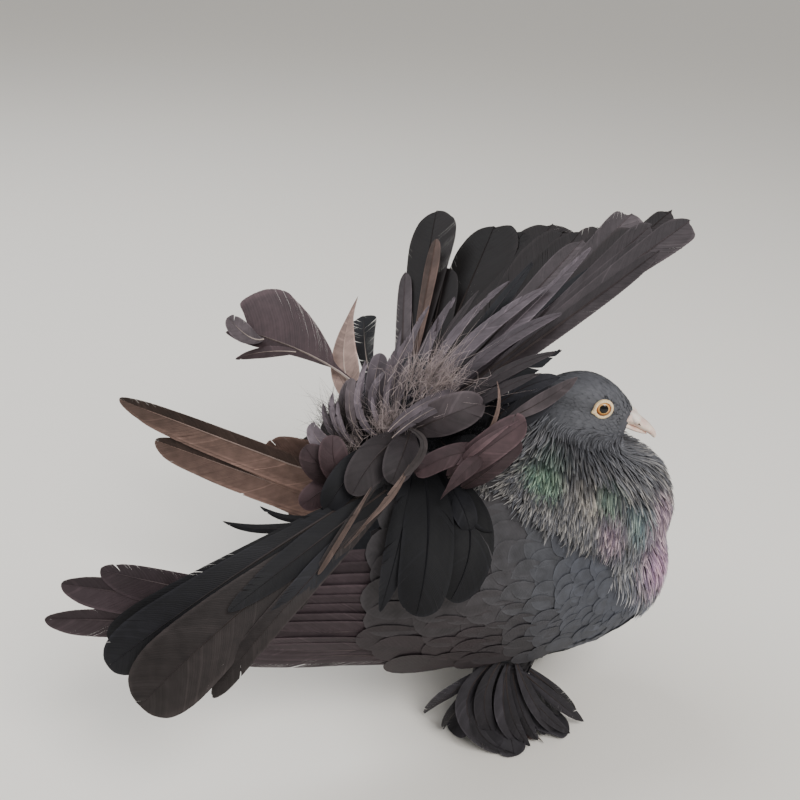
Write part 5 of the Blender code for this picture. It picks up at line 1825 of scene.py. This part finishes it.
# the long feathers that droop over the short ones, as the picture shows them on the right foot:
# root, middle, tip, width in millimetres, outline, tone and painted light, fray
MUFF_FEATHERS = (
    ((490, 664, -21), (467, 712, -19), (508, 750, -30), 11, LONG, 1.2, 0.25),
    ((508, 664, -23), (504, 712, -23), (521, 744, -35), 9.12, POINTED, 1.3, 0.3),
    ((522, 672, -30), (556, 700, -36), (584, 722, -52), 6.81, POINTED, 1.2, 0.4),
    ((518, 682, -29), (548, 716, -33), (570, 733, -44), 6.19, POINTED, 1.1, 0.4),
    ((524, 666, -33), (552, 688, -38), (576, 710, -60), 5.84, POINTED, 1.1, 0.4),
    ((480, 672, -28), (450, 694, -26), (424, 713, -50), 6.26, POINTED, 1.5, 0.5),
    ((478, 680, -27), (454, 712, -23), (444, 728, -41), 6.15, POINTED, 1, 0.5),
    ((500, 662, -20), (484, 704, -17), (500, 742, -35), 10.1, TAPERED, 0.9, 0.3),
    ((512, 664, -26), (520, 706, -28), (538, 740, -38), 8.16, TAPERED, 1, 0.3),
    ((516, 662, -23), (534, 702, -28), (556, 734, -43), 7.72, TAPERED, 1.1, 0.35),
    ((484, 664, -23), (470, 700, -21), (478, 738, -37), 7.62, TAPERED, 1.1, 0.35),
    ((506, 672, -22), (512, 716, -24), (530, 746, -34), 7.08, POINTED, 0.9, 0.3),
    ((496, 668, -20), (476, 724, -21), (516, 754, -28), 7.5, LANCE, 0.8, 0.3),
)


def make_muff(side):
    coat = Coat("muff_" + SIDE_NAMES[side])
    heel = Vector((LEG_PLACE[0], side * LEG_PLACE[1], 0))
    number = 0
    for high, size, step in MUFF_TIERS:
        for angle in range(-50, 225, step):
            rearward = ease(70, 170, angle)
            reach = (0.038 + 0.008 * math.sin(number * 2.3)) * size * (1.0 - 0.42 * rearward)
            line = muff_line(heel, angle + 9 * math.sin(number * 2.7), reach, side, high)
            outline = LONG if number % 3 == 0 else TAPERED
            add_barbed(coat, line, 0.015 * (0.75 + 0.3 * size), outline, 600 + number + 50 * side,
                       LEG_BLACK * (1.0 + 0.2 * ((number * 3) % 4) / 3), grid_spot(number), fray=0.15,
                       splits=1, pitch=0.0014, shaft_width=0.0004, cup=0.15)
            number += 1
    outward = Vector((0.25, side, 0.45)).normalized()
    for root, middle, tip, width, outline, tone_and_light, fray in MUFF_FEATHERS:
        places = [seen(*place) for place in (root, middle, tip)]
        places = [Vector((place.x, -side * place.y, max(place.z, 0.0022))) for place in places]
        line = placed_line(*places, outward, 0)
        # each feather's colour is scaled by one factor that holds its own tone and the painted light and
        # shade on it
        add_barbed(coat, line, width * MILLIMETRE, outline, 680 + number + 50 * side, LEG_BLACK * tone_and_light,
                   grid_spot(number % 64), fray=fray * 0.3, splits=1.0, shaft_width=0.0004, cup=0.35)
        number += 1
    for part in coat.parts:
        part[1][..., 2] = np.maximum(part[1][..., 2], FLOOR_GAP)
    return coat.finish(tail_finish, "foot_feathers")


for side in (-1, 1):
    make_toes(side)
    make_muff(side)

# %% [markdown]
# ## Eyes
#
# A pigeon's eye is set in a bare ring of pale flesh. The ball shows a black pupil, a pale yellow
# inner iris and an orange brown outer one, and stands a little out of the ring. The iris is drawn
# by the angle from the eye's axis, kept as a map on the ball, so it follows the surface.

# %% Eyeballs
EYE_RADIUS = 0.0046
# angle from the eye's axis on its map, and the colour there
IRIS_STOPS = ((0.0, (4, 3, 4)), (0.245, (4, 3, 4)), (0.268, (60, 38, 20)), (0.292, (214, 172, 112)),
              (0.35, (210, 158, 92)), (0.385, (176, 104, 48)), (0.445, (140, 76, 36)), (0.5, (60, 34, 22)))


def eye_axis(side):
    return (HEAD_LEFT * side + HEAD_FORWARD * 0.16 + HEAD_UP * 0.1).normalized()


def gaze(side):
    return (HEAD_LEFT * side - HEAD_FORWARD * 0.07 + HEAD_UP * 0.13).normalized()


def eye_finish():
    finish = Finish("eye_glass")
    own_map = finish.add("UVMap", {}, uv_map="EyeMap").outputs["UV"]
    outward = finish.add("SeparateXYZ", {"Vector": own_map}).outputs["Y"]
    stretched = finish.add("Mapping", {"Vector": own_map, "Scale": (60.0, 9.0, 1.0)}).outputs["Vector"]
    noise = finish.add("TexNoise", {"Vector": stretched, "Scale": 1.0, "Detail": 3.0}).outputs["Fac"]
    wobble = finish.add("MapRange", {"Value": noise, "To Min": -0.035, "To Max": 0.035}).outputs["Result"]
    total = finish.add("Math", {0: outward, 1: wobble}, operation="ADD").outputs[0]
    colour = finish.ramp(total, [(position, srgb(*tone)) for position, tone in IRIS_STOPS])
    return finish.done({"Base Color": colour, "Roughness": 0.12, "Specular IOR Level": 0.15,
                        "Coat Weight": 0.45, "Coat Roughness": 0.02})


def make_eyeball(side, material):
    bm = bmesh.new()
    axis = gaze(side)
    centre = head_point(0.0, side * EYE_SIDE, 0.0)
    bmesh.ops.create_uvsphere(bm, u_segments=48, v_segments=32, radius=EYE_RADIUS)
    layer = bm.loops.layers.uv.new("EyeMap")
    for face in bm.faces:
        for loop in face.loops:
            away = loop.vert.co.normalized()
            angle = math.acos(min(max(away.z, -1), 1)) / (math.pi / 2)
            turn = math.atan2(away.y, away.x) / (2 * math.pi) + 0.5
            loop[layer].uv = (turn, angle * 0.5 / 0.55)
    turn = axis.to_track_quat("Z", "Y").to_matrix().to_4x4()
    bmesh.ops.transform(bm, matrix=Matrix.Translation(centre) @ turn, verts=bm.verts)
    name = SIDE_NAMES[side]
    return finish_piece("eyeball_" + name, bm, material, 0, ("eye_" + name,))


eye_glass = eye_finish()
for side in (-1, 1):
    make_eyeball(side, eye_glass)

# %% Eye rings
def soft_finish(name, scale, stops, bump, rough, weight, radius):
    """Bare skin or horn: two colours in a fine noise that also bumps it, and some light inside."""
    finish = Finish(name)
    noise = finish.noise(scale, 5.0)
    return finish.done({"Base Color": finish.ramp(noise, stops), "Normal": finish.bump(noise, *bump),
                        "Roughness": rough, "Subsurface Weight": weight, "Subsurface Radius": radius})


# radius and height of the ring's section, from its inner lip outwards and back underneath
RING_SECTION = ((0.0034, -0.0004), (0.00344, 0.0004), (0.00368, 0.00085), (0.0041, 0.00095),
                (0.0045, 0.0008), (0.0049, 0.00045), (0.0051, -0.0002), (0.0048, -0.001), (0.0036, -0.001))
RING_STEPS = 72
CORNER_TURN = math.radians(48)


def make_eye_ring(side, material):
    """A fleshy ring with fine radial folds, drawn out to a small point at the rear corner."""
    axis = eye_axis(side)
    back = (-HEAD_FORWARD - axis * (-HEAD_FORWARD).dot(axis)).normalized()
    down = axis.cross(back)
    down = down if down.dot(HEAD_UP) < 0 else -down
    centre = head_point(0.0, side * RING_SIDE, 0.0)
    bm = bmesh.new()
    rings = []
    for step in range(RING_STEPS):
        turn = 2 * math.pi * step / RING_STEPS
        spoke = back * math.cos(turn) + down * math.sin(turn)
        away = abs((turn - CORNER_TURN + math.pi) % (2 * math.pi) - math.pi)
        corner = math.exp(-(away / 0.17) ** 2)
        fold = 1 + 0.1 * math.sin(turn * 24) + 0.06 * math.sin(turn * 11 + 1)
        ring = []
        for radius, height in RING_SECTION:
            outer = max(0.0, (radius - 0.004) / 0.0011)
            reach = radius + 0.0013 * corner * outer
            height = height * fold if height > 0 else height
            ring.append(bm.verts.new(centre + spoke * reach + axis * height))
        rings.append(ring)
    count = len(RING_SECTION)
    for low, high in zip(rings, rings[1:] + rings[:1]):
        for i in range(count):
            j = (i + 1) % count
            bm.faces.new((low[i], low[j], high[j], high[i]))
    bmesh.ops.recalc_face_normals(bm, faces=bm.faces)
    return finish_piece("eye_ring_" + SIDE_NAMES[side], bm, material, 1)


ring_flesh = soft_finish("eye_ring_flesh", 1400.0, ((0.3, srgb(220, 186, 140)), (0.62, srgb(246, 226, 186))),
                         (0.5, 0.0002), 0.55, 0.15, (0.0012, 0.0006, 0.0004))
for side in (-1, 1):
    make_eye_ring(side, ring_flesh)
print("eyes are in their rings")

# %% [markdown]
# ## Bill
#
# The bill is short and pale. Its upper half hooks slightly over the lower, and at its root swells
# the white, powdery cere over the nostrils. Each half is a row of ovals along the head's axis,
# bridged and rounded.

# %% Bill
def horn_finish(name, pale, pink):
    stops = ((0.35, srgb(*pink)), (0.65, srgb(*pale)))
    return soft_finish(name, 260.0, stops, (0.4, 0.00015), 0.42, 0.12, (0.0015, 0.0008, 0.0005))


# station on the head's axis, half width, top and bottom height
UPPER_ROWS = ((0.0148, 0.0072, 0.004, -0.0034), (0.0165, 0.0065, 0.0044, -0.0032),
              (0.0182, 0.0057, 0.0047, -0.0028), (0.02, 0.005, 0.0045, -0.0022),
              (0.022, 0.0043, 0.0041, -0.0019), (0.0245, 0.0036, 0.0039, -0.0016),
              (0.027, 0.0031, 0.0037, -0.0014), (0.0296, 0.0026, 0.0032, -0.0012),
              (0.032, 0.002, 0.0025, -0.0012), (0.034, 0.0013, 0.0014, -0.0014),
              (0.0354, 0.0006, 0.0, -0.0017))
LOWER_ROWS = ((0.015, 0.0068, -0.0016, -0.0052), (0.017, 0.0058, -0.0016, -0.0051),
              (0.019, 0.0047, -0.0015, -0.0049), (0.0212, 0.004, -0.0015, -0.0046),
              (0.0238, 0.0033, -0.0014, -0.0042), (0.0265, 0.0025, -0.0013, -0.0035),
              (0.029, 0.0017, -0.0013, -0.0027), (0.0308, 0.0009, -0.0014, -0.002))


def bill_rings(rows):
    rings = []
    for along, half, high, low in rows:
        centre = head_point(along, 0, (high + low) / 2)
        rings.append(ring_of(centre, HEAD_LEFT, HEAD_UP, half, (high - low) / 2, BILL_SIDES))
    return rings


BILL_SIDES = 16
HEAD_TURN = Matrix((HEAD_FORWARD, HEAD_LEFT, HEAD_UP)).transposed().to_4x4()


def bill_lobes(place, pitch, size, segments):
    """A long round form on each side of the bill, tipped forward by its pitch in degrees."""
    bm = bmesh.new()
    along, out, high = place
    shape = Matrix.Rotation(math.radians(pitch), 4, HEAD_LEFT) @ HEAD_TURN @ Matrix.Diagonal((*size, 1))
    for side in (-1, 1):
        matrix = Matrix.Translation(head_point(along, side * out, high)) @ shape
        bmesh.ops.create_uvsphere(bm, u_segments=segments[0], v_segments=segments[1], radius=1.0,
                                  matrix=matrix)
    return bm


def make_bill():
    horn = horn_finish("bill_horn", (246, 230, 216), (226, 194, 182))
    powder = horn_finish("cere_powder", (250, 244, 236), (238, 222, 212))
    shade = horn_finish("nostril_shade", (70, 50, 46), (52, 38, 36))
    for name, rows, node in (("upper_bill", UPPER_ROWS, "bill_upper"),
                             ("lower_bill", LOWER_ROWS, "bill_lower")):
        bm = bmesh.new()
        loft_bm(bm, bill_rings(rows))
        finish_piece(name, bm, horn, 2, (node,))
    cere = bill_lobes((0.0188, 0.003, 0.0024), 14, (0.0042, 0.003, 0.0024), (20, 12))
    finish_piece("cere", cere, powder, 1)
    slits = bill_lobes((0.0222, 0.0041, 0.0013), 12, (0.0017, 0.0005, 0.00035), (12, 8))
    finish_piece("nostrils", slits, shade, 1)


make_bill()
print("bill and cere are on")
